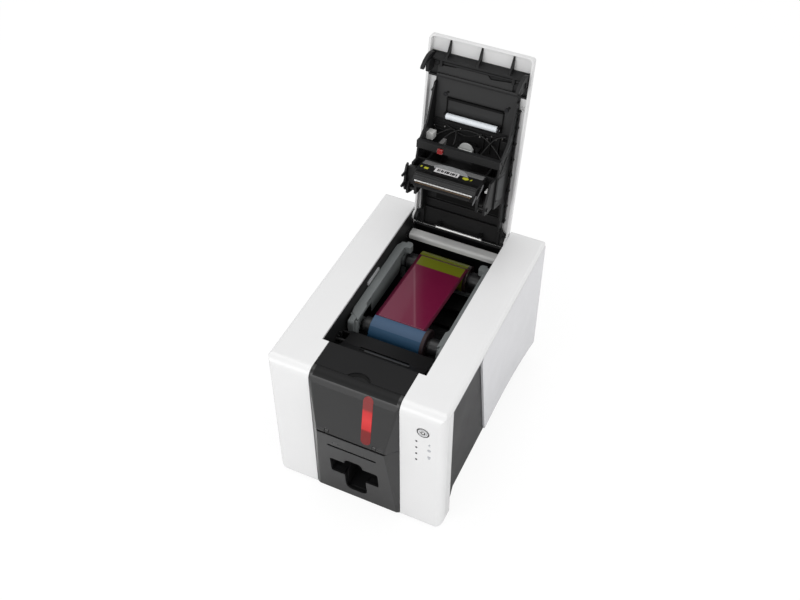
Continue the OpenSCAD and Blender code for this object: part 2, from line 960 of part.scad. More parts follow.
// The black cover between the door and the lid, with a finger catch and a card slot.
module top_front_cover() {
    outer = [[fy(door_top_d + seam), body_h], [fy(edge_d), body_h], [fy(edge_d), slope_z0], [fy(slot_d), slope_z1],
        [fy(tub_d0), slope_z2]];
    t = front_t;
    inner = [[fy(tub_d0), slope_z2 - t], [fy(slot_d), slope_z1 - t], [fy(edge_d) - t, slope_z0 - t],
        [fy(edge_d) - t, body_h - t], [fy(door_top_d + seam), body_h - t]];
    color("#282828") {
        difference() {
            union() {
                along_x(-pocket_x, pocket_x) polygon(concat(outer, inner));
                along_x(-door_half, door_half)
                    polygon([outer[0], outer[1], outer[2], inner[2], inner[3], inner[4]]);
                both_sides()
                    box([door_half - t, fy(door_top_d + seam), slope_z0 - cheek_drop], [door_half, fy(edge_d), body_h - touch]);
            }
            translate([0, fy(edge_d - thumb_back), body_h - thumb_depth]) cylinder(r = thumb_r, h = thumb_depth + cut);
            box([-card_slot_x, fy(slot_d - slot_half_w), slope_z2 - t], [card_slot_x, fy(slot_d + slot_half_w), body_h]);
        }
        // Grey lip in front of the slot
        along_x(-card_slot_x + 1, card_slot_x - 1)
            polygon([for (p = lip_profile) [fy(slot_d) + p[0], slope_z1 + p[1]]]);
    }
}

// A tray or box open at the front, with wings that carry it between the chassis walls.
module bin(half, wall, d0, d1, z0, z1, wing_z) {
    difference() {
        union() {
            box([-half - wall, fy(d0), z0 - wall], [half + wall, fy(d1), z1]);
            box([-wall_x + touch, fy(wing_d), wing_z - wall], [wall_x - touch, fy(d1), wing_z]);
        }
        box([-half, fy(d0) - cut, z0], [half, fy(d1 - wall), z1 - wall]);
    }
}

module output_hopper() {
    color("#1c1c1c")
        difference() {
            union() {
                bin(hop_x, bin_wall, hop_d0, hop_d1, hop_floor, hop_z1, hop_z1);
                // Finger pocket below the floor
                box([-lobe_x - bin_wall, fy(hop_d0), lobe_z0 - bin_wall],
                    [lobe_x + bin_wall, fy(hop_lobe_d) + bin_wall, hop_floor - touch]);
            }
            box([-lobe_x, fy(hop_d0) - cut, lobe_z0], [lobe_x, fy(hop_lobe_d), hop_floor + cut]);
        }
}

module card_magazine() {
    color("#242424") bin(mag_x, bin_wall, mag_d0, mag_d1, mag_floor_z, mag_roof, mag_floor_z);
}

// ---- Controls ----

module power_button() {
    color("#f4f4f4") {
        y_rod(button_r, front_y - button_proud, fy(button_d), button_x, button_z);
        y_rod(stem_r, fy(button_d) - touch, fy(guide_d1) + 2, button_x, button_z);
    }
}

module button_guide() {
    color("#2a2a2a")
        difference() {
            union() {
                box([button_x - guide_half, fy(guide_d0), button_z - guide_half],
                    [button_x + guide_half, fy(guide_d1), button_z + guide_half]);
                for (s = [-1, 1])
                    box([button_x + s * guide_leg - guide_leg_half, fy(cover_t) + touch, button_z - guide_leg_z],
                        [button_x + s * guide_leg + guide_leg_half, fy(guide_d0) + touch, button_z + guide_leg_z]);
            }
            y_rod(stem_r + run_gap, fy(guide_d0) - cut, fy(guide_d1) + cut, button_x, button_z);
        }
}

module status_leds() {
    color("#3c4450")
        for (i = [0:3]) y_rod(led_r, front_y - led_proud, fy(board_d), led_x, led_z - i * led_pitch);
}

module control_board() {
    color("#1f5a34")
        difference() {
            box([button_x - board_half, fy(board_d), board_foot], [button_x + board_half, fy(board_d + board_t), board_top]);
            for (z = board_posts)
                y_rod(board_hole_r, fy(board_d) - cut, fy(board_d + board_t) + cut, button_x + board_post_x, z);
        }
    color("#1f5a34")
        for (z = board_posts) y_rod(board_post_r, fy(cover_t) + touch, fy(board_d), button_x + board_post_x, z);
}

// ---- Chassis ----

module chassis_outline() {
    top = body_h - cover_t - touch;
    back = body_d - wall_back_in;
    difference() {
        polygon([[fy(wall_front_d), pan_floor + touch], [fy(body_d - wall_foot_in), pan_floor + touch], [fy(back), pan_h],
            [fy(back), top], [fy(lid_front_d), top], [fy(lid_front_d), wall_low],
            [fy(wall_front_d), wall_low - wall_low_drop]]);
        for (d = [front_feed_d, platen_d, rear_feed_d])
            translate([fy(d), axis_z]) circle(shaft_r + run_gap);
        translate([fy(takeup_d), ribbon_gear_z]) circle(shaft_r + run_gap);
        translate([hinge_y, hinge_z]) circle(pin_r);
    }
}

module left_chassis() {
    color("#2a2a2a") mirror([1, 0, 0]) {
        along_x(wall_x, wall_out) chassis_outline();
        // Studs for the idler gears, and posts for the motor
        for (d = [front_idler_d, rear_idler_d])
            x_rod(stud_r, wall_out - touch, gear_x + gear_w + stud_end, fy(d), axis_z);
        for (s = [-1, 1])
            x_rod(post_r, wall_out - touch, motor_x, fy(front_idler_d + s * post_step), pinion_z - post_drop);
    }
}

module right_chassis() {
    color("#2a2a2a") along_x(wall_x, wall_out) chassis_outline();
}

module ribbon_tub() {
    x = wall_x - touch;
    color("#202020")
        difference() {
            union() {
                box([-x, fy(tub_d0), tub_z - tub_t], [x, fy(tub_d1), tub_z]);
                box([-x, fy(tub_d0 - tub_t), tub_z - tub_t], [x, fy(tub_d0), slope_z2 - front_t - touch]);
                box([-x, fy(tub_d1), tub_z - tub_t], [x, fy(tub_d1 + tub_t), tub_back_z]);
            }
            box([-well_x, fy(platen_d - tub_well_front), tub_z - tub_t - cut],
                [well_x, fy(platen_d + tub_well_back), tub_z + cut]);
            box([ribbon_gear_x - shaft_gap, fy(takeup_d - tub_gear_slot), tub_z - tub_t - cut],
                [ribbon_gear_x + ribbon_gear_w + shaft_gap, fy(takeup_d + tub_gear_slot), tub_z + cut]);
        }
}

module rear_cross_bar() {
    color("#6e7073")
        along_x(-wall_x + touch, wall_x - touch)
            panel2d([fy(bar_d0), bar_z0], [fy(bar_d1), bar_z1], [1, 1, 3, 3]);
}

module hinge_pins() {
    color("#9a9a9c") both_sides() x_rod(pin_r, ear_x - pin_lap, wall_out + 2 * pin_lap, hinge_y, hinge_z);
}

module latch_catches() {
    x0 = pocket_x + lid_gap / 2;
    x1 = wall_x - touch;
    color("#161616") both_sides() {
        box([x0, fy(pocket_d0), pocket_floor], [x1, fy(pocket_d1), pocket_floor + pocket_t]);
        box([x0, fy(pocket_d0), pocket_floor], [x1, fy(pocket_d0 + pocket_t), pocket_front_z]);
        box([x0, fy(pocket_d1 - pocket_t), pocket_floor], [x1, fy(pocket_d1), pocket_back_z]);
        x_rod(catch_r, pocket_x + touch, x1, fy(catch_d), catch_z);
    }
}

// A small contact board high on the left wall, read through the cassette's tab.
module ribbon_reader() {
    color("#a5a7a8") box([-wall_x + touch, fy(reader_d0), reader_z0], [-wall_x + reader_t, fy(reader_d1), reader_z1]);
}

module card_guide() {
    top = guide_top;
    hole_x = rubber_x + guide_gap;
    hole_d = platen_r + guide_gap;
    rail_x = rubber_x + 2;
    shaft_room = shaft_r + shaft_gap;
    color("#262626")
        difference() {
            union() {
                box([-wall_x + touch, fy(guide_front_d), top - guide_t], [wall_x - touch, fy(guide_back_d), top]);
                both_sides()
                    box([rail_x, fy(guide_front_d), top - touch],
                        [rail_x + guide_rail_t, fy(guide_back_d), top + guide_rail_h]);
            }
            for (d = [front_feed_d, platen_d, rear_feed_d])
                box([-hole_x, fy(d) - hole_d, 0], [hole_x, fy(d) + hole_d, top + cut]);
            // The rails stop at the platen, to let the print head down.
            box([-wall_x - cut, fy(platen_d) - hole_d - guide_gap, top],
                [wall_x + cut, fy(platen_d) + hole_d + guide_gap, top + guide_rail_h + cut]);
            both_sides() for (d = [front_feed_d, platen_d, rear_feed_d])
                box([rubber_x, fy(d) - shaft_room, 0], [wall_x + cut, fy(d) + shaft_room, axis_z + shaft_room]);
        }
}

// ---- Drive ----

module drive_shaft(d) {
    x_rod(shaft_r, -gear_x - gear_w - shaft_end, wall_out + 3 * shaft_end, fy(d), axis_z);
}

module rubber_sleeve(d, r) {
    x_rod(r, -rubber_x, rubber_x, fy(d), axis_z);
}

module roller_gear(d) {
    translate([-gear_x - gear_w, fy(d), axis_z]) gear(roller_teeth, gear_w, shaft_r);
}

module platen_roller() {
    color("#202020") {
        drive_shaft(platen_d);
        rubber_sleeve(platen_d, platen_r);
    }
}

module platen_gear() {
    color("#e8e6da") translate([-gear_x - gear_w, fy(platen_d), axis_z]) gear(roller_teeth, gear_w, shaft_r + gear_fit);
}

module front_feed_roller() {
    color("#8a8a8a") {
        drive_shaft(front_feed_d);
        rubber_sleeve(front_feed_d, feed_r);
        roller_gear(front_feed_d);
    }
}

module rear_feed_roller() {
    color("#8a8a8a") {
        drive_shaft(rear_feed_d);
        rubber_sleeve(rear_feed_d, feed_r);
        roller_gear(rear_feed_d);
    }
}

module idler_gear(d) {
    translate([-gear_x - gear_w, fy(d), axis_z])
        gear(idler_teeth, gear_w, stud_r + run_gap, 180 / idler_teeth);
}

module front_idler_gear() {
    color("#e8e6da") idler_gear(front_idler_d);
}

module rear_idler_gear() {
    color("#e8e6da") idler_gear(rear_idler_d);
}

module drive_motor() {
    color("#9c9da0")
        difference() {
            union() {
                x_rod(motor_r, -motor_x - motor_len, -motor_x, fy(front_idler_d), pinion_z);
                box([-motor_x - flange_t, fy(front_idler_d) - motor_r - flange_lap, pinion_z - flange_down],
                    [-motor_x, fy(front_idler_d) + motor_r + flange_lap, pinion_z + flange_up]);
            }
            x_rod(motor_shaft_r + run_gap, -motor_x - motor_shaft - cut, -motor_x + cut, fy(front_idler_d), pinion_z);
        }
}

module motor_pinion() {
    color("#c9a85a") {
        translate([-gear_x - gear_w, fy(front_idler_d), pinion_z]) gear(pinion_teeth, gear_w, 0);
        x_rod(motor_shaft_r, -motor_x - motor_shaft, -gear_x - gear_w + touch, fy(front_idler_d), pinion_z);
    }
}

module ribbon_motor() {
    y = fy(takeup_d);
    color("#9c9da0")
        difference() {
            union() {
                x_rod(ribbon_motor_r, ribbon_motor_x, ribbon_motor_x + ribbon_motor_len, y, ribbon_gear_z);
                x_rod(ribbon_motor_neck_r, wall_out + touch, ribbon_motor_x + touch, y, ribbon_gear_z);
            }
            x_rod(shaft_r + run_gap, wall_out - cut, ribbon_motor_x + ribbon_shaft + cut, y, ribbon_gear_z);
        }
}

module ribbon_drive_gear() {
    color("#e8e6da") {
        translate([ribbon_gear_x, fy(takeup_d), ribbon_gear_z])
            gear(ribbon_teeth, ribbon_gear_w, 0, 90 + 180 / ribbon_teeth);
        x_rod(shaft_r, ribbon_gear_x + ribbon_gear_w - touch, ribbon_motor_x + ribbon_shaft, fy(takeup_d), ribbon_gear_z);
    }
}

// ---- Electronics ----

module main_board() {
    face = main_x + main_t;
    color("#1f5a34") {
        box([main_x, fy(main_d0), main_z0], [face, fy(main_d1), main_z1]);
        for (d = [main_d0 + main_in, main_d1 - main_in], z = [main_z0 + main_in, main_z1 - main_in])
            x_rod(post_r, wall_out + touch, main_x + touch, fy(d), z);
    }
    // Its largest parts: a chip, a socket and two capacitors
    color("#202020") {
        translate([face - touch, fy(main_d0 + chip_d), main_z0 + chip_z]) cube([chip_t, chip_w, chip_w]);
        translate([face - touch, fy(main_d0 + header_d), main_z0 + header_z]) cube([header_t, header_w, header_h]);
        for (d = can_d) x_rod(can_r, face - touch, face + can_h, fy(main_d0 + d), main_z1 - can_drop);
    }
}

module power_inlet() {
    color("#151515")
        difference() {
            union() {
                box([inlet_x - inlet_half, back_y - wall_t - inlet_deep, inlet_z - inlet_half],
                    [inlet_x + inlet_half, back_y - wall_t - touch, inlet_z + inlet_half]);
                y_rod(inlet_r, back_y - wall_t - cut, back_y - port_set, inlet_x, inlet_z);
            }
            y_rod(inlet_bore_r, back_y - wall_t - inlet_bore, back_y + cut, inlet_x, inlet_z);
        }
    color("#c0c0c0") y_rod(inlet_pin_r, back_y - wall_t - inlet_bore - touch, back_y - 5 * port_set, inlet_x, inlet_z);
}

module data_port(x, half_x, half_z, hole_x, hole_z) {
    y0 = back_y - wall_t - port_deep;
    difference() {
        union() {
            box([x - half_x, y0, port_z - half_z], [x + half_x, back_y - port_set, port_z + half_z]);
            box([x - half_x - port_lap, y0, port_z - half_z - port_lap],
                [x + half_x + port_lap, back_y - wall_t - touch, port_z + half_z + port_lap]);
        }
        box([x - hole_x, back_y - socket_deep, port_z - hole_z], [x + hole_x, back_y + cut, port_z + hole_z]);
    }
}

module data_ports() {
    color("#c4c6c8")
        for (p = [usb_port, lan_port]) data_port(p[0], p[1], p[2], p[3], p[4]);
}

// ---- Ribbon cassette ----

module cassette_side() {
    d0 = tie_front_d - rail_end;
    d1 = supply_d + rail_over;
    z0 = cassette_z - rail_h;
    difference() {
        union() {
            along_x(cassette_x, cassette_out) {
                panel2d([fy(d0), z0], [fy(d1), cassette_z], [2, 5, 5, 4]);
                panel2d([fy(d0), tie_front_z], [fy(d0 + rail_foot), cassette_z - rail_h / 2], [2, 2, 0, 0]);
            }
            x_rod(journal_r + hub_wall, cassette_x, cassette_out, fy(takeup_d), takeup_z);
            x_rod(journal_r + hub_wall, cassette_x, cassette_out, fy(supply_d), supply_z);
            box([cassette_x, fy(takeup_d) - hub_wall, takeup_z], [cassette_out, fy(takeup_d) + hub_wall, z0 + cut]);
            box([cassette_x, fy(supply_d) - hub_wall, supply_z], [cassette_out, fy(supply_d) + hub_wall, z0 + cut]);
            // Rounded cap over the end of the supply spool, and the leg down to its tie
            along_z(z0 + tie_t, cassette_z)
                panel2d([cassette_x - rail_cap, fy(supply_d - rail_over)], [cassette_x + touch, fy(d1)],
                    [2, 0, 0, rail_cap / 2]);
            box([cassette_x, fy(supply_d) - hub_wall, tie_rear_z], [cassette_out, fy(supply_d) + hub_wall, supply_z]);
        }
        x_rod(journal_r + run_gap, cassette_x - cut, cassette_out + cut, fy(takeup_d), takeup_z);
        x_rod(journal_r + run_gap, cassette_x - cut, cassette_out + cut, fy(supply_d), supply_z);
    }
}

module cassette_frame() {
    x = cassette_x + touch;
    color("#5a6063") {
        both_sides() cassette_side();
        // Cross ties under the spools, and the hand tab on the left
        box([-x, fy(tie_front_d), tie_front_z], [x, fy(tie_front_d + tie_t), tie_front_z + tie_h]);
        box([-x, fy(tie_rear_d), tie_rear_z], [x, fy(tie_rear_d + tie_t), tie_rear_z + tie_h]);
        box([-cassette_out - tab_x, fy(takeup_d - tab_front), tab_z0], [-cassette_out + touch, fy(takeup_d + tab_back), tab_z1]);
    }
}

module spool_core(d, z) {
    both_sides() {
        x_rod(core_r + flange_x, film_x + flange_x, ribbon_gear_x - shaft_gap, fy(d), z);
        x_rod(journal_r, ribbon_gear_x - shaft_gap - touch, cassette_out - journal_end, fy(d), z);
    }
    x_rod(core_r, -film_x - flange_x - touch, film_x + flange_x + touch, fy(d), z);
}

module supply_core() {
    color("#1d1d1d") spool_core(supply_d, supply_z);
}

module takeup_core() {
    color("#1d1d1d") {
        spool_core(takeup_d, takeup_z);
        translate([ribbon_gear_x, fy(takeup_d), takeup_z]) gear(core_teeth, ribbon_gear_w, journal_r - touch, 90);
    }
}

module film_roll(d, z, r) {
    difference() {
        x_rod(r, -film_x, film_x, fy(d), z);
        x_rod(core_r + gear_fit, -film_x - cut, film_x + cut, fy(d), z);
    }
}

module supply_roll() {
    color("#7a8410") film_roll(supply_d, supply_z, supply_r);
}

module takeup_roll() {
    color("#2d5a7c") film_roll(takeup_d, takeup_z, takeup_r);
}

// The film between the spools, level with their tops.
module ribbon_web() {
    z0 = takeup_z + takeup_r + web_lift;
    z1 = supply_z + supply_r + web_lift;
    color("#7a1540")
        along_x(-film_x, film_x)
            polygon([[fy(takeup_d), z0], [fy(supply_d), z1], [fy(supply_d), z1 + film_t], [fy(takeup_d), z0 + film_t]]);
}

// ---- Lid ----

module lid_form(inset, drop) {
    x = lid_x - inset;
    edge_r = shell_edge_r - min(inset, shell_edge_r - 0.1);
    y0 = -lid_len + inset;
    y1 = lid_tail - inset;
    z0 = lid_rise - lid_rim - drop;
    z1 = lid_rise - inset;
    intersection() {
        along_x(-x, x) panel2d([y0, z0], [y1, z1], [0, 0, edge_r, lid_tip_r - inset]);
        along_y(y0, y1) panel2d([-x, z0], [x, z1], [0, 0, edge_r, edge_r]);
        along_z(z0, z1) panel2d([-x, y0], [x, y1], [lid_tip_r - inset, lid_tip_r - inset, 0, 0]);
    }
}

module lid_shell() {
    color("#ececee") on_lid() {
        difference() {
            union() {
                difference() {
                    lid_form(0, 0);
                    lid_form(lid_t, cut);
                }
                both_sides() {
                    x_rod(ear_r, ear_x, lid_x, 0, 0);
                    box([ear_x, -ear_r, 0], [lid_x, ear_r, lid_rise - lid_t + touch]);
                }
            }
            both_sides() x_rod(pin_r + run_gap, ear_x - cut, lid_x + cut, 0, 0);
        }
    }
}

module lid_frame() {
    w0 = frame_w0;
    w1 = frame_w1;
    wide_x = lid_x - lid_t - wide_gap;
    inner = frame_x - touch;
    wall = hook_x0 - hook_side;
    color("#262628") on_lid() {
        difference() {
            union() {
                lid_box(-frame_x, frame_x, apron_v, tip_v0 + touch, w0, w1);
                both_sides() lid_box(frame_x - frame_t, frame_x, apron_v, frame_v0 + touch, w0, apron_w);
                lid_box(-wide_x, wide_x, tip_v0, ledge_v, w0, w1);
                both_sides() lid_plate(frame_x - frame_t, frame_x, frame_profile);
                // Slanted front wall and its ledge
                lid_plate(-wall, wall, [[ledge_v, w0], [ledge_v - frame_t, w0], [tip_v1 - frame_t, ledge_w],
                    [tip_v1, ledge_w]]);
                lid_box(-wide_x, wide_x, tip_v0, tip_v0 + frame_t, w0, step_w);
                // Cross shelf over the fan, floor steps and the sides of the roller's recess
                lid_box(-inner, inner, shelf_v0, shelf_v1, shelf_w, deep_w);
                lid_box(-inner, inner, frame_v0, frame_v0 + frame_t, w0, apron_w);
                for (v = floor_steps) lid_box(-inner, inner, v, v + rib_t, w0, floor_step_w);
                for (v = recess_v) lid_box(-recess_x, recess_x, v, v + frame_t, w0, step_w);
                // Gussets behind the front wall
                for (x = gusset_x)
                    lid_plate(x - gusset_half, x + gusset_half, [[tip_v1 - gusset_half, ledge_w],
                        [gusset_v, w0 + wide_gap], [ledge_v - gusset_half, w0 + wide_gap]]);
                // Ribs on the outer faces of the side walls
                both_sides() for (v = side_ribs)
                    lid_box(frame_x - touch, frame_x + side_rib_x, v, v + rib_t, w0, side_rib_w);
                // Lugs of the white roller, of the latch shaft and of the guide rod
                both_sides() {
                    lid_box(lid_roller_x + 1, lid_roller_x + 1 + lug_t, lid_roller_v - roller_lug, lid_roller_v + roller_lug,
                        w1 - touch, lid_roller_w + roller_lug);
                    lid_box(latch_lug[0], latch_lug[1], latch_v - latch_r - 2, latch_v + latch_r + 1,
                        w1 - touch, latch_w + latch_r + 2);
                    lid_box(rod_x - 2 * rod_lug, rod_x - rod_lug, rod_v - rod_lug, rod_v + rod_lug,
                        w0, rod_w + rod_lug);
                }
            }
            lid_rod(lid_axle_r + run_gap, -recess_x - cut, recess_x + cut, lid_roller_v, lid_roller_w);
            lid_rod(latch_r + run_gap, -hook_x1, hook_x1, latch_v, latch_w);
        }
        // Bright guide rod near the hinge
        lid_rod(rod_r, -rod_x, rod_x, rod_v, rod_w);
    }
}

module lid_screws() {
    color("#8c8c90") on_lid()
        both_sides() for (v = screw_v)
            translate([screw_x, -v, lid_rise - frame_w1 - screw_h]) cylinder(r = screw_r, h = screw_h - touch);
}

module head_bracket() {
    x = bracket_x;
    color("#1e1e20") on_lid()
        difference() {
            union() {
                both_sides()
                    lid_plate(x - bracket_t, x, [[bracket_v0, bracket_w0], [bracket_v1, bracket_w0],
                        [bracket_v1, bracket_w1], [pivot_v + pivot_wall, pivot_w + pivot_wall],
                        [pivot_v - pivot_wall, pivot_w + pivot_wall], [bracket_v0, bracket_w1]]);
                lid_box(-x + touch, x - touch, bracket_v0, bracket_v1, deep_w - 1, deep_w + 1);
                both_sides()
                    lid_box(bracket_rail, bracket_rail + bracket_step, bracket_v0, bracket_v1, frame_w1 + touch, deep_w);
                both_sides() lid_box(bracket_rail, x, bracket_v0, bracket_v1, bracket_w0, bracket_w0 + bracket_step);
            }
            lid_rod(pivot_r + run_gap, -x - cut, x + cut, pivot_v, pivot_w);
        }
}

module print_head() {
    fin_w = head_top_w + head_deep;
    color("#2b2c2e") on_lid() {
        // Carrier plate with the pivot's cheeks, and the heat sink with fins below the label
        lid_box(-head_x, head_x, pivot_v - head_back, head_v + head_front, head_top_w, head_top_w + carrier_t);
        both_sides()
            lid_box(head_x - cheek_t, head_x, pivot_v - head_back, head_v, head_top_w, pivot_w + head_back);
        lid_box(-head_x, head_x, head_v - head_low, head_v + head_front, head_top_w, fin_w);
        for (i = [0:fin_count - 1])
            lid_box(-head_x, head_x, head_v - head_back, head_v + head_back + i, fin_w - touch + i * fin_pitch,
                fin_w + fin_t + i * fin_pitch);
        lid_box(-head_x, head_x, head_v - head_back, head_v + fin_t, fin_w - touch, head_w - blade_deep + cut);
        // Print line on its edge
        lid_plate(-blade_x, blade_x, [[head_v - blade_back, head_w - blade_deep], [head_v + blade_front, head_w - blade_deep],
            [head_v + blade_tip, head_w], [head_v - blade_tip, head_w]]);
        both_sides() lid_rod(pivot_r, head_x - touch, bracket_x + pivot_pin_end, pivot_v, pivot_w);
        // Release lever on the left
        lid_rod(pivot_r, -lever_x - lever_t, -bracket_x, pivot_v, pivot_w);
        lid_plate(-lever_x - lever_t, -lever_x, [[pivot_v - 4, pivot_w - 5], [pivot_v + 2, pivot_w - 5],
            [pivot_v + 20, pivot_w + 2], [pivot_v + 20, pivot_w + 6], [pivot_v + 4, pivot_w + 9], [pivot_v - 4, pivot_w + 4]]);
    }
}

module head_label() {
    color("#c8c9c2") on_lid()
        lid_box(-head_x + label_t, head_x - label_t, head_v + head_front + touch, head_v + head_front + label_t,
            head_top_w + label_t, head_top_w + head_deep - label_t);
}

module head_springs() {
    color("#b0b0b2") on_lid()
        both_sides() for (v = spring_v)
            translate([spring_x, -v, lid_rise - deep_w - 1 - spring_w])
                difference() {
                    cylinder(r = spring_r, h = spring_w - touch);
                    translate([0, 0, -cut]) cylinder(r = spring_r - spring_t, h = spring_w + 2 * cut);
                }
}

// Flat cable from the lid's floor to the head bracket
module head_cable() {
    color("#c9b07a") on_lid()
        lid_plate(-cable_x, cable_x, concat(
            [for (p = cable_path) [bracket_v0 + p[0], p[1]]],
            [for (i = [len(cable_path) - 1:-1:0]) [bracket_v0 + cable_path[i][0] - cable_t, cable_path[i][1] + cable_t]]));
}

module lid_roller() {
    color("#c4cace") on_lid() {
        lid_rod(lid_roller_r, -lid_roller_x, lid_roller_x, lid_roller_v, lid_roller_w);
        lid_rod(lid_axle_r, -recess_x, recess_x, lid_roller_v, lid_roller_w);
    }
}

// Places children drawn round the Z axis on the fan's axis, which runs along the lid.
module on_fan_axis(v) {
    translate([0, -v, lid_rise - fan_w]) rotate([90, 0, 0]) children();
}

module fan_housing() {
    color("#1f1f21") on_lid()
        difference() {
            union() {
                lid_box(-fan_half, fan_half, fan_v0, fan_v0 + fan_t, fan_w - fan_half + fan_wall, fan_w + fan_half);
                lid_box(-fan_post, fan_post, fan_v0, fan_v0 + fan_t, frame_w1 + touch, fan_w - fan_half + fan_wall + touch);
            }
            on_fan_axis(fan_v0 + fan_wall) cylinder(r = fan_r + fan_gap, h = fan_t);
            on_fan_axis(fan_v0 - cut) cylinder(r = fan_axle_r + run_gap, h = fan_t);
        }
}

module fan_rotor() {
    color("#dcdcdc") on_lid() {
        on_fan_axis(fan_v0 + fan_wall + fan_gap) cylinder(r = hub_r, h = fan_t - 2 * fan_wall);
        on_fan_axis(fan_v0 - blade_t / 2) cylinder(r = fan_axle_r, h = 3 * fan_wall);
        on_fan_axis(fan_v0 + fan_wall + fan_gap)
            for (i = [0:blades - 1])
                rotate(i * 360 / blades)
                    translate([hub_r - blade_t / 2, -blade_t / 2, blade_t / 2]) cube([fan_r - hub_r, blade_t, fan_t - 3 * fan_wall]);
    }
}

// The two latch hooks on their common shaft. Each curves down and back, to catch under its bar.
module hook_outline() {
    polygon([for (p = hook_points) [-latch_v - p[0], lid_rise - latch_w - p[1]]]);
}

module latch_hooks() {
    color("#1a1a1c") on_lid() {
        lid_rod(latch_r, -hook_x1 + touch, hook_x1 - touch, latch_v, latch_w);
        both_sides() along_x(hook_x0, hook_x1) hook_outline();
        // Springs wound round the shaft
        both_sides()
            difference() {
                lid_rod(latch_r + coil_t, coil_x0, coil_x1, latch_v, latch_w);
                lid_rod(latch_r - touch, coil_x0 - cut, coil_x1 + cut, latch_v, latch_w);
            }
    }
}

module lid_connectors() {
    x = frame_x - frame_t - touch;
    color("#e6e6e2") on_lid() lid_box(-x, -x + plug_x, shelf_v0 + 1, shelf_v1, 14, 24);
    color("#c03030") on_lid() lid_box(-tag_x - 6, -tag_x, shelf_v0 + 1, shelf_v0 + 6, deep_w + touch, deep_w + 3);
    color("#9a9da0") on_lid() lid_box(-tag_x - 10, -tag_x - 6, shelf_v0, shelf_v0 + 6, bracket_w0, shelf_w - touch);
}

base_pan();
rubber_feet();
left_cover();
right_cover();
left_side_panel();
right_side_panel();
left_side_inset();
right_side_inset();
rear_panel();
top_front_cover();
lower_front_panel();
output_hopper();
card_magazine();
feeder_door();
door_window();
door_pin();
power_button();
button_guide();
status_leds();
control_board();
left_chassis();
right_chassis();
ribbon_tub();
rear_cross_bar();
hinge_pins();
latch_catches();
ribbon_reader();
card_guide();
platen_roller();
platen_gear();
front_feed_roller();
rear_feed_roller();
front_idler_gear();
rear_idler_gear();
drive_motor();
motor_pinion();
ribbon_motor();
ribbon_drive_gear();
main_board();
power_inlet();
data_ports();
cassette_frame();
supply_core();
supply_roll();
takeup_core();
takeup_roll();
ribbon_web();
lid_shell();
lid_frame();
lid_screws();
head_bracket();
print_head();
head_label();
head_springs();
head_cable();
lid_roller();
fan_housing();
fan_rotor();
latch_hooks();
lid_connectors();
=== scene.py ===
import math

import bpy
import bmesh
from mathutils import Matrix, Vector


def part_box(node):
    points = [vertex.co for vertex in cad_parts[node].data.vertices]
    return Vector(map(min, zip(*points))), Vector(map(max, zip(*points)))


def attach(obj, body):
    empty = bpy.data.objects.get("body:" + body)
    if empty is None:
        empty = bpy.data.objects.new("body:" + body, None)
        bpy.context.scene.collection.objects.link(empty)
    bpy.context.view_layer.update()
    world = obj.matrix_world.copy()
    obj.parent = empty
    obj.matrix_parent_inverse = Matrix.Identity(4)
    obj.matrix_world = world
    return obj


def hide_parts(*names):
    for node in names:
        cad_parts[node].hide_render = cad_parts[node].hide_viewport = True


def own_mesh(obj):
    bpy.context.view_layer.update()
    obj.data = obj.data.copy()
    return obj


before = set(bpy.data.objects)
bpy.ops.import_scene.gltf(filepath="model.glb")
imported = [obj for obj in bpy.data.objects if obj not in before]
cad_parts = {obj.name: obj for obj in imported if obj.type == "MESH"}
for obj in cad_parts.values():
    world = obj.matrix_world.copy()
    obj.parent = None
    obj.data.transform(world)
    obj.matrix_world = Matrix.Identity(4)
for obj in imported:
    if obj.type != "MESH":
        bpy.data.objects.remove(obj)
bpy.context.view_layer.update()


# ---- Camera, floor and light ----
# The printer stands on a pale table and is seen from above, over its right front corner.
# Three large soft lamps stand round it in an evenly lit white room.
def lens_view(place, forward, roll, lens):
    eye = Vector(place)
    ahead = Vector(forward).normalized()
    right = ahead.cross(Vector((0, 0, 1))).normalized()
    up = right.cross(ahead)
    turned_right = right * math.cos(roll) + up * math.sin(roll)
    turned_up = up * math.cos(roll) - right * math.sin(roll)
    camera_data = bpy.data.cameras.new("view")
    camera_data.lens = lens
    camera_data.sensor_width = 36
    camera_data.clip_start = 0.01
    camera = bpy.data.objects.new("view", camera_data)
    bpy.context.scene.collection.objects.link(camera)
    camera.matrix_world = Matrix((
        (turned_right.x, turned_up.x, -ahead.x, eye.x),
        (turned_right.y, turned_up.y, -ahead.y, eye.y),
        (turned_right.z, turned_up.z, -ahead.z, eye.z),
        (0, 0, 0, 1)))
    bpy.context.scene.camera = camera


eye_place = (0.347213, -0.774421, 1.054868)
eye_forward = (-0.298265, 0.628820, -0.718069)
eye_roll = -0.005683
lens_millimetres = 49.42
lens_view(eye_place, eye_forward, eye_roll, lens_millimetres)

scene = bpy.context.scene
scene.view_settings.view_transform = "Standard"


def area_lamp(name, place, aim, size, watts):
    data = bpy.data.lights.new(name, "AREA")
    data.shape = "SQUARE"
    data.size = size
    data.energy = watts
    lamp = bpy.data.objects.new(name, data)
    scene.collection.objects.link(lamp)
    lamp.location = place
    lamp.rotation_euler = (Vector(aim) - Vector(place)).to_track_quat("-Z", "Y").to_euler()


area_lamp("over_lamp", (-0.2, 0.1, 2.0), (0, 0, 0.15), 1.4, 10)
area_lamp("right_lamp", (1.8, -0.2, 0.8), (0, 0, 0.15), 1.2, 6)
area_lamp("front_lamp", (-0.5, -1.9, 0.9), (0, 0, 0.1), 1.2, 12)

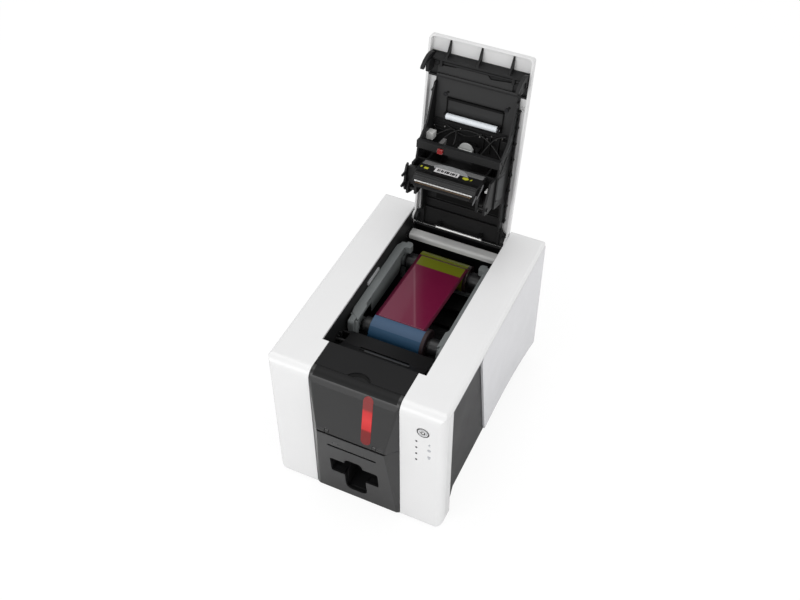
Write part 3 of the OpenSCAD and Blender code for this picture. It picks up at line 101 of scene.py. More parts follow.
world = bpy.data.worlds.new("room")
scene.world = world
world.use_nodes = True
world_nodes = world.node_tree.nodes
world_links = world.node_tree.links
background = world_nodes["Background"]
paths = world_nodes.new("ShaderNodeLightPath")
soft_light = world_nodes.new("ShaderNodeMapRange")
soft_light.inputs["To Min"].default_value = 0.58
soft_light.inputs["To Max"].default_value = 1.0
world_links.new(paths.outputs["Is Camera Ray"], soft_light.inputs["Value"])
world_links.new(soft_light.outputs["Result"], background.inputs["Strength"])
background.inputs["Color"].default_value = (1, 1, 1, 1)

floor_mesh = bpy.data.meshes.new("floor")
floor_mesh.from_pydata([(-4, -4, 0), (4, -4, 0), (4, 4, 0), (-4, 4, 0)], [], [(0, 1, 2, 3)])
floor = bpy.data.objects.new("floor", floor_mesh)
scene.collection.objects.link(floor)
floor_paint = bpy.data.materials.new("floor_paint")
floor_paint.use_nodes = True
floor_nodes = floor_paint.node_tree.nodes
floor_links = floor_paint.node_tree.links
floor_shader = floor_nodes["Principled BSDF"]
floor_shader.inputs["Base Color"].default_value = (0.9, 0.9, 0.9, 1)
floor_shader.inputs["Roughness"].default_value = 0.9
floor_shader.inputs["Specular IOR Level"].default_value = 0.0
floor_glow = floor_nodes.new("ShaderNodeEmission")
floor_glow.inputs["Strength"].default_value = 1.05
floor_blend = floor_nodes.new("ShaderNodeMixShader")
floor_path = floor_nodes.new("ShaderNodeLightPath")
floor_amount = floor_nodes.new("ShaderNodeMath")
floor_amount.operation = "MULTIPLY"
floor_amount.inputs[1].default_value = 0.86
floor_links.new(floor_path.outputs["Is Camera Ray"], floor_amount.inputs[0])
floor_links.new(floor_amount.outputs[0], floor_blend.inputs["Fac"])
floor_links.new(floor_shader.outputs[0], floor_blend.inputs[1])
floor_links.new(floor_glow.outputs[0], floor_blend.inputs[2])
floor_links.new(floor_blend.outputs[0], floor_nodes["Material Output"].inputs["Surface"])
floor_mesh.materials.append(floor_paint)


# ---- Base pan and feet ----
# The pan is one moulding in dark grey plastic that carries everything, and four rubber feet are
# pressed into its floor. The spark-eroded mould leaves a fine, even grain. Every moulding's edges
# are painted paler, partly as wear and partly as a painted highlight.
def moulded(name, colour, rough=0.45, grain=1400, bite=0.02, drift=0.06, edge=0.0004, edge_sheen_and_wear=1.3,
            gloss=0.5):
    plastic = bpy.data.materials.new(name)
    plastic.use_nodes = True
    nodes, links = plastic.node_tree.nodes, plastic.node_tree.links
    shader = nodes["Principled BSDF"]
    shader.inputs["Specular IOR Level"].default_value = gloss
    place = nodes.new("ShaderNodeTexCoord")
    cloud = nodes.new("ShaderNodeTexNoise")
    cloud.inputs["Scale"].default_value = 26
    cloud.inputs["Detail"].default_value = 3
    links.new(place.outputs["Object"], cloud.inputs["Vector"])
    fine = nodes.new("ShaderNodeTexNoise")
    fine.inputs["Scale"].default_value = grain
    fine.inputs["Detail"].default_value = 2
    links.new(place.outputs["Object"], fine.inputs["Vector"])
    shade = nodes.new("ShaderNodeValToRGB")
    shade.color_ramp.elements[0].position = 0.3
    shade.color_ramp.elements[1].position = 0.7
    shade.color_ramp.elements[0].color = (*[c * (1 - drift) for c in colour], 1)
    shade.color_ramp.elements[1].color = (*[min(1, c * (1 + drift)) for c in colour], 1)
    links.new(cloud.outputs["Fac"], shade.inputs["Fac"])
    round_edge = nodes.new("ShaderNodeBevel")
    round_edge.samples = 4
    round_edge.inputs["Radius"].default_value = edge
    flat_face = nodes.new("ShaderNodeNewGeometry")
    turn = nodes.new("ShaderNodeVectorMath")
    turn.operation = "DOT_PRODUCT"
    links.new(round_edge.outputs["Normal"], turn.inputs[0])
    links.new(flat_face.outputs["True Normal"], turn.inputs[1])
    # Paler rounded edges: a painted edge highlight, partly also wear.
    edge_sheen_mask = nodes.new("ShaderNodeMapRange")
    edge_sheen_mask.inputs["From Min"].default_value = 0.97
    edge_sheen_mask.inputs["From Max"].default_value = 0.75
    links.new(turn.outputs["Value"], edge_sheen_mask.inputs["Value"])
    finish = nodes.new("ShaderNodeMix")
    finish.data_type = "RGBA"
    finish.inputs["B"].default_value = (*[min(1, c * edge_sheen_and_wear) for c in colour], 1)
    links.new(edge_sheen_mask.outputs["Result"], finish.inputs["Factor"])
    links.new(shade.outputs["Color"], finish.inputs["A"])
    links.new(finish.outputs["Result"], shader.inputs["Base Color"])
    polish = nodes.new("ShaderNodeMapRange")
    polish.inputs["To Min"].default_value = max(0.03, rough - 0.07)
    polish.inputs["To Max"].default_value = rough + 0.07
    links.new(cloud.outputs["Fac"], polish.inputs["Value"])
    links.new(polish.outputs["Result"], shader.inputs["Roughness"])
    relief = nodes.new("ShaderNodeBump")
    relief.inputs["Strength"].default_value = 0.6
    relief.inputs["Distance"].default_value = bite / 1000
    links.new(fine.outputs["Fac"], relief.inputs["Height"])
    links.new(round_edge.outputs["Normal"], relief.inputs["Normal"])
    links.new(relief.outputs["Normal"], shader.inputs["Normal"])
    return plastic


def dress(material, *names):
    for name in names:
        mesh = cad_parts[name].data
        mesh.materials.clear()
        mesh.materials.append(material)


pan_plastic = moulded("pan_plastic", (0.055, 0.055, 0.057), 0.5, 900, 0.05)
dress(pan_plastic, "base_pan")
foot_rubber = moulded("foot_rubber", (0.016, 0.016, 0.016), 0.78, 2200, 0.06, 0.15, 0.0006, 1.6,
                      0.3)
dress(foot_rubber, "rubber_feet")

MILLIMETRES = Matrix.Diagonal((0.001, 0.001, 0.001, 1))


def block(shape, low, high):
    corners = [shape.verts.new((x, y, z)) for z in (low[2], high[2]) for y in (low[1], high[1])
               for x in (low[0], high[0])]
    for face in ((0, 2, 3, 1), (4, 5, 7, 6), (0, 1, 5, 4), (2, 6, 7, 3), (0, 4, 6, 2),
                 (1, 3, 7, 5)):
        shape.faces.new([corners[i] for i in face])


def plate(shape, outline, near, far, across="x"):
    order = {"x": (2, 0, 1), "y": (0, 2, 1), "z": (0, 1, 2)}[across]
    rings = []
    for depth in (near, far):
        corners = []
        for point in outline:
            flat = (point[0], point[1], depth)
            corners.append(shape.verts.new(tuple(flat[i] for i in order)))
        rings.append(corners)
    shape.faces.new(rings[0])
    shape.faces.new(rings[1])
    for i in range(len(outline)):
        j = (i + 1) % len(outline)
        shape.faces.new((rings[0][i], rings[0][j], rings[1][j], rings[1][i]))


def rod(shape, start, end, radius, tip=None, sides=24):
    way = Vector(end) - Vector(start)
    turn = way.to_track_quat("Z", "Y").to_matrix().to_4x4()
    middle = Matrix.Translation((Vector(start) + Vector(end)) / 2)
    bmesh.ops.create_cone(shape, cap_ends=True, segments=sides, radius1=radius,
                          radius2=radius if tip is None else tip, depth=way.length,
                          matrix=middle @ turn)


def fix(name, shape, material, body, place=MILLIMETRES, soft=0.25):
    bmesh.ops.recalc_face_normals(shape, faces=shape.faces)
    mesh = bpy.data.meshes.new(name)
    shape.to_mesh(mesh)
    shape.free()
    mesh.transform(place)
    mesh.materials.append(material)
    mesh.polygons.foreach_set("use_smooth", [True] * len(mesh.polygons))
    mesh.set_sharp_from_angle(angle=math.radians(35))
    piece = bpy.data.objects.new(name, mesh)
    scene.collection.objects.link(piece)
    if soft:
        rounding = piece.modifiers.new("rounding", "BEVEL")
        rounding.width = soft / 1000
        rounding.segments = 2
        rounding.limit_method = "ANGLE"
        rounding.angle_limit = math.radians(35)
    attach(piece, body)
    return piece


# ---- Chassis walls, card guide and tub ----
# Two black side walls stand on the pan and carry every shaft. The card guide and the ribbon tub lie
# between them. All are satin black mouldings, screwed together from inside.
black_plastic = moulded("black_plastic", (0.012, 0.012, 0.0125), 0.5, 1100, 0.04, 0.12, 0.0004, 1.9,
                        0.3)
dress(black_plastic, "left_chassis", "right_chassis", "card_guide", "latch_catches")
tub_plastic = moulded("tub_plastic", (0.010, 0.010, 0.0105), 0.6, 800, 0.06, 0.15, 0.0005, 1.7,
                      0.25)
dress(tub_plastic, "ribbon_tub", "output_hopper", "card_magazine")


# ---- Rollers, gears, motors and boards ----
# The platen and feed rollers are ground rubber on steel shafts, driven by acetal gears from a small
# can motor. The boards are green laminate with tinned pads, behind the covers.
def ground(name, colour, stretch, rough=0.35, metallic=1.0, bite=0.01, drift=0.12):
    metal = bpy.data.materials.new(name)
    metal.use_nodes = True
    nodes, links = metal.node_tree.nodes, metal.node_tree.links
    shader = nodes["Principled BSDF"]
    shader.inputs["Metallic"].default_value = metallic
    place = nodes.new("ShaderNodeTexCoord")
    along = nodes.new("ShaderNodeMapping")
    along.inputs["Scale"].default_value = stretch
    links.new(place.outputs["Object"], along.inputs["Vector"])
    strokes = nodes.new("ShaderNodeTexNoise")
    strokes.inputs["Scale"].default_value = 1.0
    strokes.inputs["Detail"].default_value = 4
    links.new(along.outputs["Vector"], strokes.inputs["Vector"])
    tone = nodes.new("ShaderNodeValToRGB")
    tone.color_ramp.elements[0].position = 0.3
    tone.color_ramp.elements[1].position = 0.7
    tone.color_ramp.elements[0].color = (*[c * (1 - drift) for c in colour], 1)
    tone.color_ramp.elements[1].color = (*[min(1, c * (1 + drift)) for c in colour], 1)
    links.new(strokes.outputs["Fac"], tone.inputs["Fac"])
    links.new(tone.outputs["Color"], shader.inputs["Base Color"])
    polish = nodes.new("ShaderNodeMapRange")
    polish.inputs["To Min"].default_value = max(0.05, rough - 0.12)
    polish.inputs["To Max"].default_value = rough + 0.12
    links.new(strokes.outputs["Fac"], polish.inputs["Value"])
    links.new(polish.outputs["Result"], shader.inputs["Roughness"])
    round_edge = nodes.new("ShaderNodeBevel")
    round_edge.samples = 4
    round_edge.inputs["Radius"].default_value = 0.0003
    relief = nodes.new("ShaderNodeBump")
    relief.inputs["Strength"].default_value = 0.5
    relief.inputs["Distance"].default_value = bite / 1000
    links.new(strokes.outputs["Fac"], relief.inputs["Height"])
    links.new(round_edge.outputs["Normal"], relief.inputs["Normal"])
    links.new(relief.outputs["Normal"], shader.inputs["Normal"])
    return metal


roller_rubber = moulded("roller_rubber", (0.022, 0.022, 0.023), 0.7, 3000, 0.03, 0.2, 0.0004, 1.5,
                        0.3)
dress(roller_rubber, "platen_roller", "front_feed_roller", "rear_feed_roller")
gear_acetal = moulded("gear_acetal", (0.72, 0.69, 0.6), 0.4, 1800, 0.02, 0.05, 0.0002, 1.1)
dress(gear_acetal, "platen_gear", "front_idler_gear", "rear_idler_gear", "ribbon_drive_gear")
pinion_brass = ground("pinion_brass", (0.6, 0.42, 0.15), (300, 2500, 2500), 0.3)
dress(pinion_brass, "motor_pinion")
motor_steel = ground("motor_steel", (0.5, 0.5, 0.51), (3000, 250, 250), 0.38)
dress(motor_steel, "drive_motor", "ribbon_motor")


def circuit_laminate(name, colour):
    laminate = moulded(name, colour, 0.35, 1600, 0.02, 0.1, 0.0002, 1.2)
    nodes, links = laminate.node_tree.nodes, laminate.node_tree.links
    place = nodes["Texture Coordinate"]
    tracks = nodes.new("ShaderNodeTexBrick")
    tracks.inputs["Scale"].default_value = 160
    tracks.inputs["Mortar Size"].default_value = 0.06
    tracks.inputs["Color1"].default_value = (*colour, 1)
    tracks.inputs["Color2"].default_value = (*[c * 1.25 for c in colour], 1)
    tracks.inputs["Mortar"].default_value = (*[c * 1.9 for c in colour], 1)
    links.new(place.outputs["Object"], tracks.inputs["Vector"])
    links.new(tracks.outputs["Color"], nodes["Mix"].inputs["A"])
    return laminate


green_laminate = circuit_laminate("green_laminate", (0.02, 0.11, 0.045))
dress(green_laminate, "main_board", "control_board")


# ---- Hopper mouth, lower front panel and feeder door ----
# The lower panel and the door are soft-sheened charcoal mouldings, folded outwards along creases.
# The panel is screwed to the pan, and the door swings down on a blackened pin in the panel's ears.
front_plastic = moulded("front_plastic", (0.014, 0.014, 0.0145), 0.30, 1500, 0.02, 0.06, 0.0004,
                        1.9, 0.5)
dress(front_plastic, "lower_front_panel", "feeder_door")

shape = bmesh.new()
block(shape, (-15.2, -156.4, 15.8), (15.2, -150.6, 17.5))
for side in (-1, 1):
    for inner_x, outer_x, mouth_y, low_z, high_z in (
            (13.5, 15.2, -157.4, 15.8, 45.5), (13.5, 31.4, -158.2, 43.8, 45.5),
            (29.5, 31.4, -158.4, 43.8, 74.5), (11.5, 31.4, -159.0, 72.6, 74.5)):
        near, far = sorted((side * inner_x, side * outer_x))
        block(shape, (near, mouth_y, low_z), (far, -150.6, high_z))
fix("mouth_collar", shape, tub_plastic, "body", soft=0.3)

# A darker, matt skin covers the rounded top of the door.
dark_matt = moulded("dark_matt", (0.009, 0.009, 0.0094), 0.5, 1200, 0.03, 0.08, 0.0004, 1.5, 0.2)
shape = bmesh.new()
top_radius, bend_y, bend_z = 11.06, -144, 184
bend = [math.radians(38 + 5.2 * step) for step in range(11)]
outside = [(bend_y - top_radius * math.cos(a), bend_z + top_radius * math.sin(a)) for a in bend]
outside.append((-141.5, 195.06))
inside = [(y + 0.5, z - 0.3) for y, z in reversed(outside)]
plate(shape, outside + inside, -47.9, 47.9, "x")
fix("door_top_skin", shape, dark_matt, "door", soft=0)
dress(dark_matt, "door_pin")


# ---- Door window ----
# The window is a clear red polycarbonate strip, clipped into the door so that the card stock shows
# behind it. Its red is painted bright in the middle as painted light and darker at the ends as
# painted shade.
def clear_red():
    glaze = moulded("window_red", (0.60, 0.028, 0.035), 0.2, 700, 0.01, 0.04, 0.0005, 1.0, 0.3)
    nodes, links = glaze.node_tree.nodes, glaze.node_tree.links
    split = nodes.new("ShaderNodeSeparateXYZ")
    links.new(nodes["Texture Coordinate"].outputs["Object"], split.inputs[0])
    window_low, window_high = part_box("door_window")
    height = nodes.new("ShaderNodeMapRange")
    height.inputs["From Min"].default_value = window_low.z
    height.inputs["From Max"].default_value = window_high.z
    links.new(split.outputs["Z"], height.inputs["Value"])
    # Painted light and shade: the red is bright in the middle of the window and darker towards its
    # ends.
    depth = nodes.new("ShaderNodeValToRGB")
    links.new(height.outputs["Result"], depth.inputs["Fac"])
    painted_light_ramp = depth.color_ramp
    painted_light_ramp.elements[0].position, painted_light_ramp.elements[0].color = 0.0, (0.185, 0.012, 0.012, 1)
    painted_light_ramp.elements[1].position, painted_light_ramp.elements[1].color = 1.0, (0.25, 0.035, 0.035, 1)
    for spot, colour in ((0.29, (0.215, 0.012, 0.012, 1)), (0.33, (0.62, 0.024, 0.026, 1)),
                         (0.52, (0.74, 0.042, 0.044, 1)), (0.70, (0.62, 0.032, 0.034, 1)),
                         (0.76, (0.26, 0.034, 0.034, 1))):
        painted_light_ramp.elements.new(spot).color = colour
    links.new(depth.outputs["Color"], nodes["Mix"].inputs["A"])
    nodes["Principled BSDF"].inputs["Coat Weight"].default_value = 0.08
    nodes["Principled BSDF"].inputs["Coat Roughness"].default_value = 0.05
    return glaze


window_red = clear_red()
dress(window_red, "door_window")


# ---- Covers, side panels and insets ----
# The two covers are glossy white ABS shells. Behind them a pale grey arched panel is bonded to each
# side, and a charcoal panel is let in between. The charcoal rear panel is screwed to the pan.
cover_white = moulded("cover_white", (0.87, 0.87, 0.872), 0.2, 420, 0.003, 0.006, 0.0012, 1.02)
dress(cover_white, "left_cover", "right_cover")
side_grey = moulded("side_grey", (0.80, 0.80, 0.825), 0.2, 420, 0.003, 0.008, 0.0008, 1.05)
dress(side_grey, "left_side_panel", "right_side_panel")
inset_grey = moulded("inset_grey", (0.015, 0.015, 0.016), 0.42, 1300, 0.02, 0.05, 0.0005, 1.6, 0.22)
dress(inset_grey, "left_side_inset", "right_side_inset", "rear_panel")


# ---- Top front cover ----
# A satin black moulding closes the front of the case between the white covers. It slopes down to
# the ribbon bay and carries the thumb catch of the door and the mouth for single cards.
top_black = moulded("top_black", (0.0065, 0.0065, 0.007), 0.42, 1200, 0.03, 0.08, 0.0005, 2.4, 0.2)
dress(top_black, "top_front_cover")

lip_grey = moulded("lip_grey", (0.05, 0.05, 0.051), 0.4, 1100, 0.02, 0.08, 0.0003, 1.5, 0.3)
shape = bmesh.new()
plate(shape, [(-88.6, 173.2), (-85.4, 171.6), (-85.2, 172.5), (-88.3, 174.2)], -21.5, 31.5, "x")
fix("slot_lip", shape, lip_grey, "body", soft=0.2)

# This black is painted shade in the thumb catch, the recesses and the floor holes, and it is also
# the ink of printed marks.
print_and_shade_black = moulded("print_and_shade_black", (0.004, 0.004, 0.004), 0.55, 900, 0.02, 0.1, 0.0002, 1.5, 0.15)
shape = bmesh.new()
catch_radius, catch_y, catch_end_y = 14.9, -148.1, -133
arc = [math.radians(a) for a in range(8, 173, 6)]
outer = [(catch_radius * math.cos(a), catch_y + catch_radius * math.sin(a)) for a in arc]
inner = [(1.5 + 14.2 * math.cos(a), -149.6 + 12.6 * math.sin(a)) for a in reversed(arc)]
plate(shape, [point for point in outer + inner if point[1] < catch_end_y], 193.82, 194.0, "z")
fix("thumb_shade", shape, print_and_shade_black, "body", soft=0)


# ---- Power button, lights and marks ----
# A white domed button has a dark ring and the standby mark printed on it, and slides in a dark
# guide. Four smoked lights in a row show the state, and three small marks are printed beside them.
button_white = moulded("button_white", (0.86, 0.86, 0.86), 0.2, 600, 0.01, 0.01, 0.0008, 1.02)
dress(button_white, "power_button")
guide_grey = moulded("guide_grey", (0.03, 0.03, 0.032), 0.35, 1300, 0.02, 0.06, 0.0006, 1.5)
dress(guide_grey, "button_guide")
light_smoke = moulded("light_smoke", (0.012, 0.014, 0.018), 0.15, 600, 0.005, 0.1, 0.0003, 1.4)
dress(light_smoke, "status_leds")

button_low, button_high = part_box("power_button")
button_x = (button_low.x + button_high.x) * 500
button_z = (button_low.z + button_high.z) * 500
button_y = button_low.y * 1000
print_grey = moulded("print_grey", (0.035, 0.035, 0.038), 0.4, 1500, 0.005, 0.05, 0.0001, 1.1)
pale_print = moulded("pale_print", (0.42, 0.43, 0.46), 0.4, 1500, 0.005, 0.05, 0.0001, 1.1)


def ring(shape, x, z, inside, outside, near, far, start=0, sweep=360):
    count = round(48 * sweep / 360)
    turns = [math.radians(start + sweep * i / count) for i in range(count + 1)]
    for a, b in zip(turns, turns[1:]):
        corners = [(x + r * math.cos(t), z + r * math.sin(t))
                   for r, t in ((inside, a), (outside, a), (outside, b), (inside, b))]
        plate(shape, corners, near, far, "y")


shape = bmesh.new()
ring(shape, button_x, button_z, 5.5, 6.6, button_y - 0.06, button_y + 0.3)
fix("button_ring", shape, print_grey, "button", soft=0)
shape = bmesh.new()
ring(shape, button_x, button_z, 1.6, 2.8, button_y - 0.06, button_y + 0.3, 125, 290)
block(shape, (button_x - 0.45, button_y - 0.06, button_z + 0.5),
      (button_x + 0.45, button_y + 0.3, button_z + 3.1))
fix("standby_mark", shape, print_and_shade_black, "button", soft=0)
shape = bmesh.new()
ring(shape, button_x, button_z, 3.7, 4.6, button_y - 0.05, button_y + 0.3)
fix("button_inner_ring", shape, pale_print, "button", soft=0)

front_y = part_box("right_cover")[0].y * 1000
shape = bmesh.new()
plate(shape,
      [(85.2, 150.4), (87.0, 149.0), (85.6, 147.2), (87.0, 145.0), (84.0, 147.6), (85.2, 149.0)],
      front_y - 0.05, front_y + 0.2, "y")
ring(shape, 85.4, 139.0, 0.6, 2.0, front_y - 0.05, front_y + 0.2)
block(shape, (83.8, front_y - 0.05, 126.6), (87.2, front_y + 0.2, 129.2))
block(shape, (84.4, front_y - 0.05, 124.4), (86.6, front_y + 0.2, 126.0))
fix("light_marks", shape, pale_print, "body", soft=0)


# ---- Cross bar and ribbon reader ----
# A pale moulded bar ties the two side walls behind the ribbon and is screwed to both. A small grey
# sensor, clipped to the left wall, looks at the ribbon core.
bar_grey = moulded("bar_grey", (0.68, 0.68, 0.67), 0.5, 900, 0.04, 0.06, 0.0012, 1.25)
dress(bar_grey, "rear_cross_bar")
reader_grey = moulded("reader_grey", (0.48, 0.49, 0.50), 0.45, 900, 0.02, 0.06, 0.0004, 1.2)
dress(reader_grey, "ribbon_reader")


# ---- Bay walls round the ribbon ----
# Black ribs and guards are moulded on the tub's walls. They guide the cassette down, keep fingers
# off the card path and cover the left end of the cross bar.
shape = bmesh.new()
for y in (-71.5, -76.5):
    block(shape, (-59.9, y - 0.7, 164), (-56.8, y + 0.7, 171))
plate(shape, [(41, -84), (50.5, -84), (51.5, -80), (51.5, -68), (48, -66), (44, -72), (41, -80)],
      158, 166.5, "z")
block(shape, (-60.2, 104.8, 161.8), (-57.4, 118.2, 170.3))
for y in (104, 94, 84, 74):
    block(shape, (44, y - 16.8, 122), (60, y - 16.1, 126))
fix("bay_guards", shape, black_plastic, "body", soft=0.4)


# ---- Ribbon cassette and film ----
# A cool grey frame holds two black cores. The dye film runs from the yellow roll at the back, over
# the tub, to the roll at the front that takes up the used panels.
cassette_grey = moulded("cassette_grey", (0.190, 0.204, 0.205), 0.6, 700, 0.05, 0.06, 0.0006, 1.25,
                        0.35)
dress(cassette_grey, "cassette_frame")
shape = bmesh.new()
rail = [(47.3, -51), (58.6, -43), (60.0, -36), (60.0, 77), (55.0, 84.5), (47.0, 84.5), (44.6, 81),
        (44.6, 80), (49.8, 76), (49.8, -24), (47.3, -28)]
for side in (-1, 1):
    plate(shape, [(side * x, y) for x, y in rail], 171.6, 175.5, "z")
    plate(shape, [(-12, 171.8), (-12, 150), (62, 148), (66, 156), (66, 171.8)], side * 49.8,
          side * 51.2, "x")
    plate(shape, [(-51, 171.8), (-56.5, 158), (-56.5, 150), (-50, 150), (-46, 171.8)],
          side * 47.4, side * 57, "x")
    near, far = sorted((side * 44.6, side * 47.0))
    block(shape, (near, 79.5, 164.5), (far, 84.4, 172))
fix("cassette_rails", shape, cassette_grey, "cassette", soft=0.8)
core_black = moulded("core_black", (0.012, 0.012, 0.013), 0.4, 1200, 0.02, 0.1, 0.0004, 2.2)
dress(core_black, "supply_core", "takeup_core")


def film(name, panels, axis, clear_from, coat=0.5, reflection_amount=0.0, rough=0.3):
    dye = moulded(name, panels[0][1], rough, 1200, 0.006, 0.05, 0.0004, 1.1, 0.4)
    nodes, links = dye.node_tree.nodes, dye.node_tree.links
    place = nodes["Texture Coordinate"].outputs["Object"]
    split = nodes.new("ShaderNodeSeparateXYZ")
    links.new(place, split.inputs[0])
    span = nodes.new("ShaderNodeMapRange")
    span.inputs["From Min"].default_value = -0.1
    span.inputs["From Max"].default_value = 0.1
    links.new(split.outputs[axis], span.inputs["Value"])
    bands = nodes.new("ShaderNodeValToRGB")
    bands.color_ramp.interpolation = "CONSTANT"
    bands.color_ramp.elements[0].color = (*panels[0][1], 1)
    bands.color_ramp.elements.remove(bands.color_ramp.elements[1])
    for edge, colour in panels[1:]:
        bands.color_ramp.elements.new((edge + 100) / 200).color = (*colour, 1)
    links.new(span.outputs["Result"], bands.inputs["Fac"])
    clear = nodes.new("ShaderNodeMapRange")
    clear.inputs["From Min"].default_value = clear_from / 1000
    clear.inputs["From Max"].default_value = clear_from / 1000 + 0.0003
    links.new(split.outputs["X"], clear.inputs["Value"])
    margin = nodes.new("ShaderNodeMix")
    margin.data_type = "RGBA"
    margin.inputs["B"].default_value = (0.03, 0.016, 0.018, 1)
    links.new(clear.outputs["Result"], margin.inputs["Factor"])
    links.new(bands.outputs["Color"], margin.inputs["A"])
    # Painted reflection: the left part of the film is lightened, with a painted highlight along a
    # crease line, in the amount given by the sixth argument.
    reflection_side = nodes.new("ShaderNodeVectorMath")
    reflection_side.operation = "DOT_PRODUCT"
    reflection_side.inputs[1].default_value = (1.0, 0.4625, 0.0)
    links.new(place, reflection_side.inputs[0])
    painted_reflection = nodes.new("ShaderNodeValToRGB")
    painted_reflection.color_ramp.elements[0].color = (0.035, 0.03, 0.03, 1)
    painted_reflection.color_ramp.elements[0].position = 0.40
    painted_reflection.color_ramp.elements[1].color = (0.0, 0.0, 0.0, 1)
    painted_reflection.color_ramp.elements[1].position = 0.56
    painted_reflection.color_ramp.elements.new(0.475).color = (0.055, 0.05, 0.05, 1)
    painted_reflection.color_ramp.elements.new(0.487).color = (0.16, 0.14, 0.14, 1)
    painted_reflection.color_ramp.elements.new(0.499).color = (0.03, 0.025, 0.025, 1)
    spread = nodes.new("ShaderNodeMapRange")
    spread.inputs["From Min"].default_value = -0.08
    spread.inputs["From Max"].default_value = 0.08
    links.new(reflection_side.outputs["Value"], spread.inputs["Value"])
    links.new(spread.outputs["Result"], painted_reflection.inputs["Fac"])
    reflection_add = nodes.new("ShaderNodeMix")
    reflection_add.data_type = "RGBA"
    reflection_add.blend_type = "ADD"
    reflection_add.inputs["Factor"].default_value = reflection_amount
    links.new(margin.outputs["Result"], reflection_add.inputs["A"])
    links.new(painted_reflection.outputs["Color"], reflection_add.inputs["B"])
    links.new(reflection_add.outputs["Result"], nodes["Mix"].inputs["A"])
    wrinkle = nodes.new("ShaderNodeTexNoise")
    wrinkle.inputs["Scale"].default_value = 18
    wrinkle.inputs["Detail"].default_value = 1
    stretch = nodes.new("ShaderNodeMapping")
    stretch.inputs["Scale"].default_value = (1.0, 0.35, 1.0)
    links.new(place, stretch.inputs["Vector"])
    links.new(stretch.outputs["Vector"], wrinkle.inputs["Vector"])
    wave = nodes.new("ShaderNodeBump")
    wave.inputs["Distance"].default_value = 0.002
    wave.inputs["Strength"].default_value = 0.35
    links.new(wrinkle.outputs["Fac"], wave.inputs["Height"])
    links.new(nodes["Bump"].outputs["Normal"], wave.inputs["Normal"])
    links.new(wave.outputs["Normal"], nodes["Principled BSDF"].inputs["Normal"])
    nodes["Principled BSDF"].inputs["Coat Weight"].default_value = coat
    nodes["Principled BSDF"].inputs["Coat Roughness"].default_value = 0.1
    return dye


YELLOW = (0.155, 0.175, 0.008)
MAGENTA = (0.150, 0.004, 0.036)
BLUE = (0.050, 0.100, 0.180)
BLUE_IN_SHADE = (0.013, 0.060, 0.125)


def wound_roll(name, y, z, radius, core, left, right, material, body):
    shape = bmesh.new()
    profile = [(core, left), (radius - 0.6, left), (radius, left + 0.5), (radius, right - 0.5),
               (radius - 0.6, right), (core, right)]
    sides = 96
    rings = []
    for k in range(sides):
        a = 2 * math.pi * k / sides
        rings.append([shape.verts.new((x, y + r * math.cos(a), z + r * math.sin(a)))
                      for r, x in profile])
    for k in range(sides):
        here, after = rings[k], rings[(k + 1) % sides]
        for i in range(len(profile)):
            j = (i + 1) % len(profile)
            shape.faces.new((here[i], here[j], after[j], after[i]))
    return fix(name, shape, material, body, soft=0)


yellow_film = film("yellow_film", [(-100, YELLOW)], "Y", 27)
# The takeup roll's blue is painted darker on its front side as painted shade.
blue_film = film("blue_film", [(-100, BLUE_IN_SHADE), (-46.5, BLUE)], "Y", 26, 0.0, 0.0, 0.6)
supply = wound_roll("supply_winding", 82, 150, 16, 8.0, -33.0, 31.0, yellow_film, "supply")
takeup = wound_roll("takeup_winding", -35, 153, 18, 8.0, -35.5, 30.5, blue_film, "takeup")
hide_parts("supply_roll")
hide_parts("takeup_roll")

web_film = film("web_film", [(-100, MAGENTA), (64.8, YELLOW)], "Y", 40, 0.3, 0.5)
shape = bmesh.new()
lengths, widths = 60, 16
front_roll_y, front_roll_z = -32, 170.95
back_roll_y, back_roll_z = 82, 166.15
rows = []
for i in range(lengths + 1):
    t = i / lengths
    y = front_roll_y + t * (back_roll_y - front_roll_y)
    height = front_roll_z + (back_roll_z - front_roll_z) * t
    sag = 1.1 * math.sin(math.pi * t)
    line = []
    for j in range(widths + 1):
        s = j / widths
        x = (-35.3 + 2.3 * t) + s * (61.3 + 1.2 * t)
        curl = 0.5 * (2 * s - 1) ** 4 * math.sin(math.pi * t)
        line.append(shape.verts.new((x, y, height - sag + curl)))
    rows.append(line)
for i in range(lengths):
    for j in range(widths):
        shape.faces.new((rows[i][j], rows[i][j + 1], rows[i + 1][j + 1], rows[i + 1][j]))
mesh = bpy.data.meshes.new("dye_web")
shape.to_mesh(mesh)
shape.free()
mesh.transform(MILLIMETRES)
mesh.materials.append(web_film)
mesh.polygons.foreach_set("use_smooth", [True] * len(mesh.polygons))
web = bpy.data.objects.new("dye_web", mesh)
scene.collection.objects.link(web)
skin = web.modifiers.new("film_thickness", "SOLIDIFY")
skin.thickness = 0.00008
web.data = bpy.data.meshes.new_from_object(web.evaluated_get(bpy.context.evaluated_depsgraph_get()))
web.data.name = "dye_web"
web.modifiers.remove(skin)
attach(web, "cassette")
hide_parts("ribbon_web")
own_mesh(web)


# ---- Lid shell ----
# The lid is a shallow white ABS shell with a turned-down rim. Its inner face is left matt from the
# mould, and the black frame is screwed into it.
lid_white = moulded("lid_white", (0.82, 0.82, 0.82), 0.3, 500, 0.012, 0.01, 0.001, 1.02)
dress(lid_white, "lid_shell")

# What rides on the lid is drawn in millimetres on the open lid: X across it, then up from the hinge
# to the tip, then from its outer face to the inside. The hinge pin lies 9 mm inside the outer face.
lean_sine, lean_cosine = 0.986572, 0.163326
hinge_y, hinge_z = 0.123, 0.186
pin_depth = 9.0
LID = Matrix(((0.001, 0, 0, 0),
              (0, 0.001 * lean_cosine, -0.001 * lean_sine, hinge_y + pin_depth / 1000 * lean_sine),
              (0, 0.001 * lean_sine, 0.001 * lean_cosine, hinge_z - pin_depth / 1000 * lean_cosine),
              (0, 0, 0, 1)))


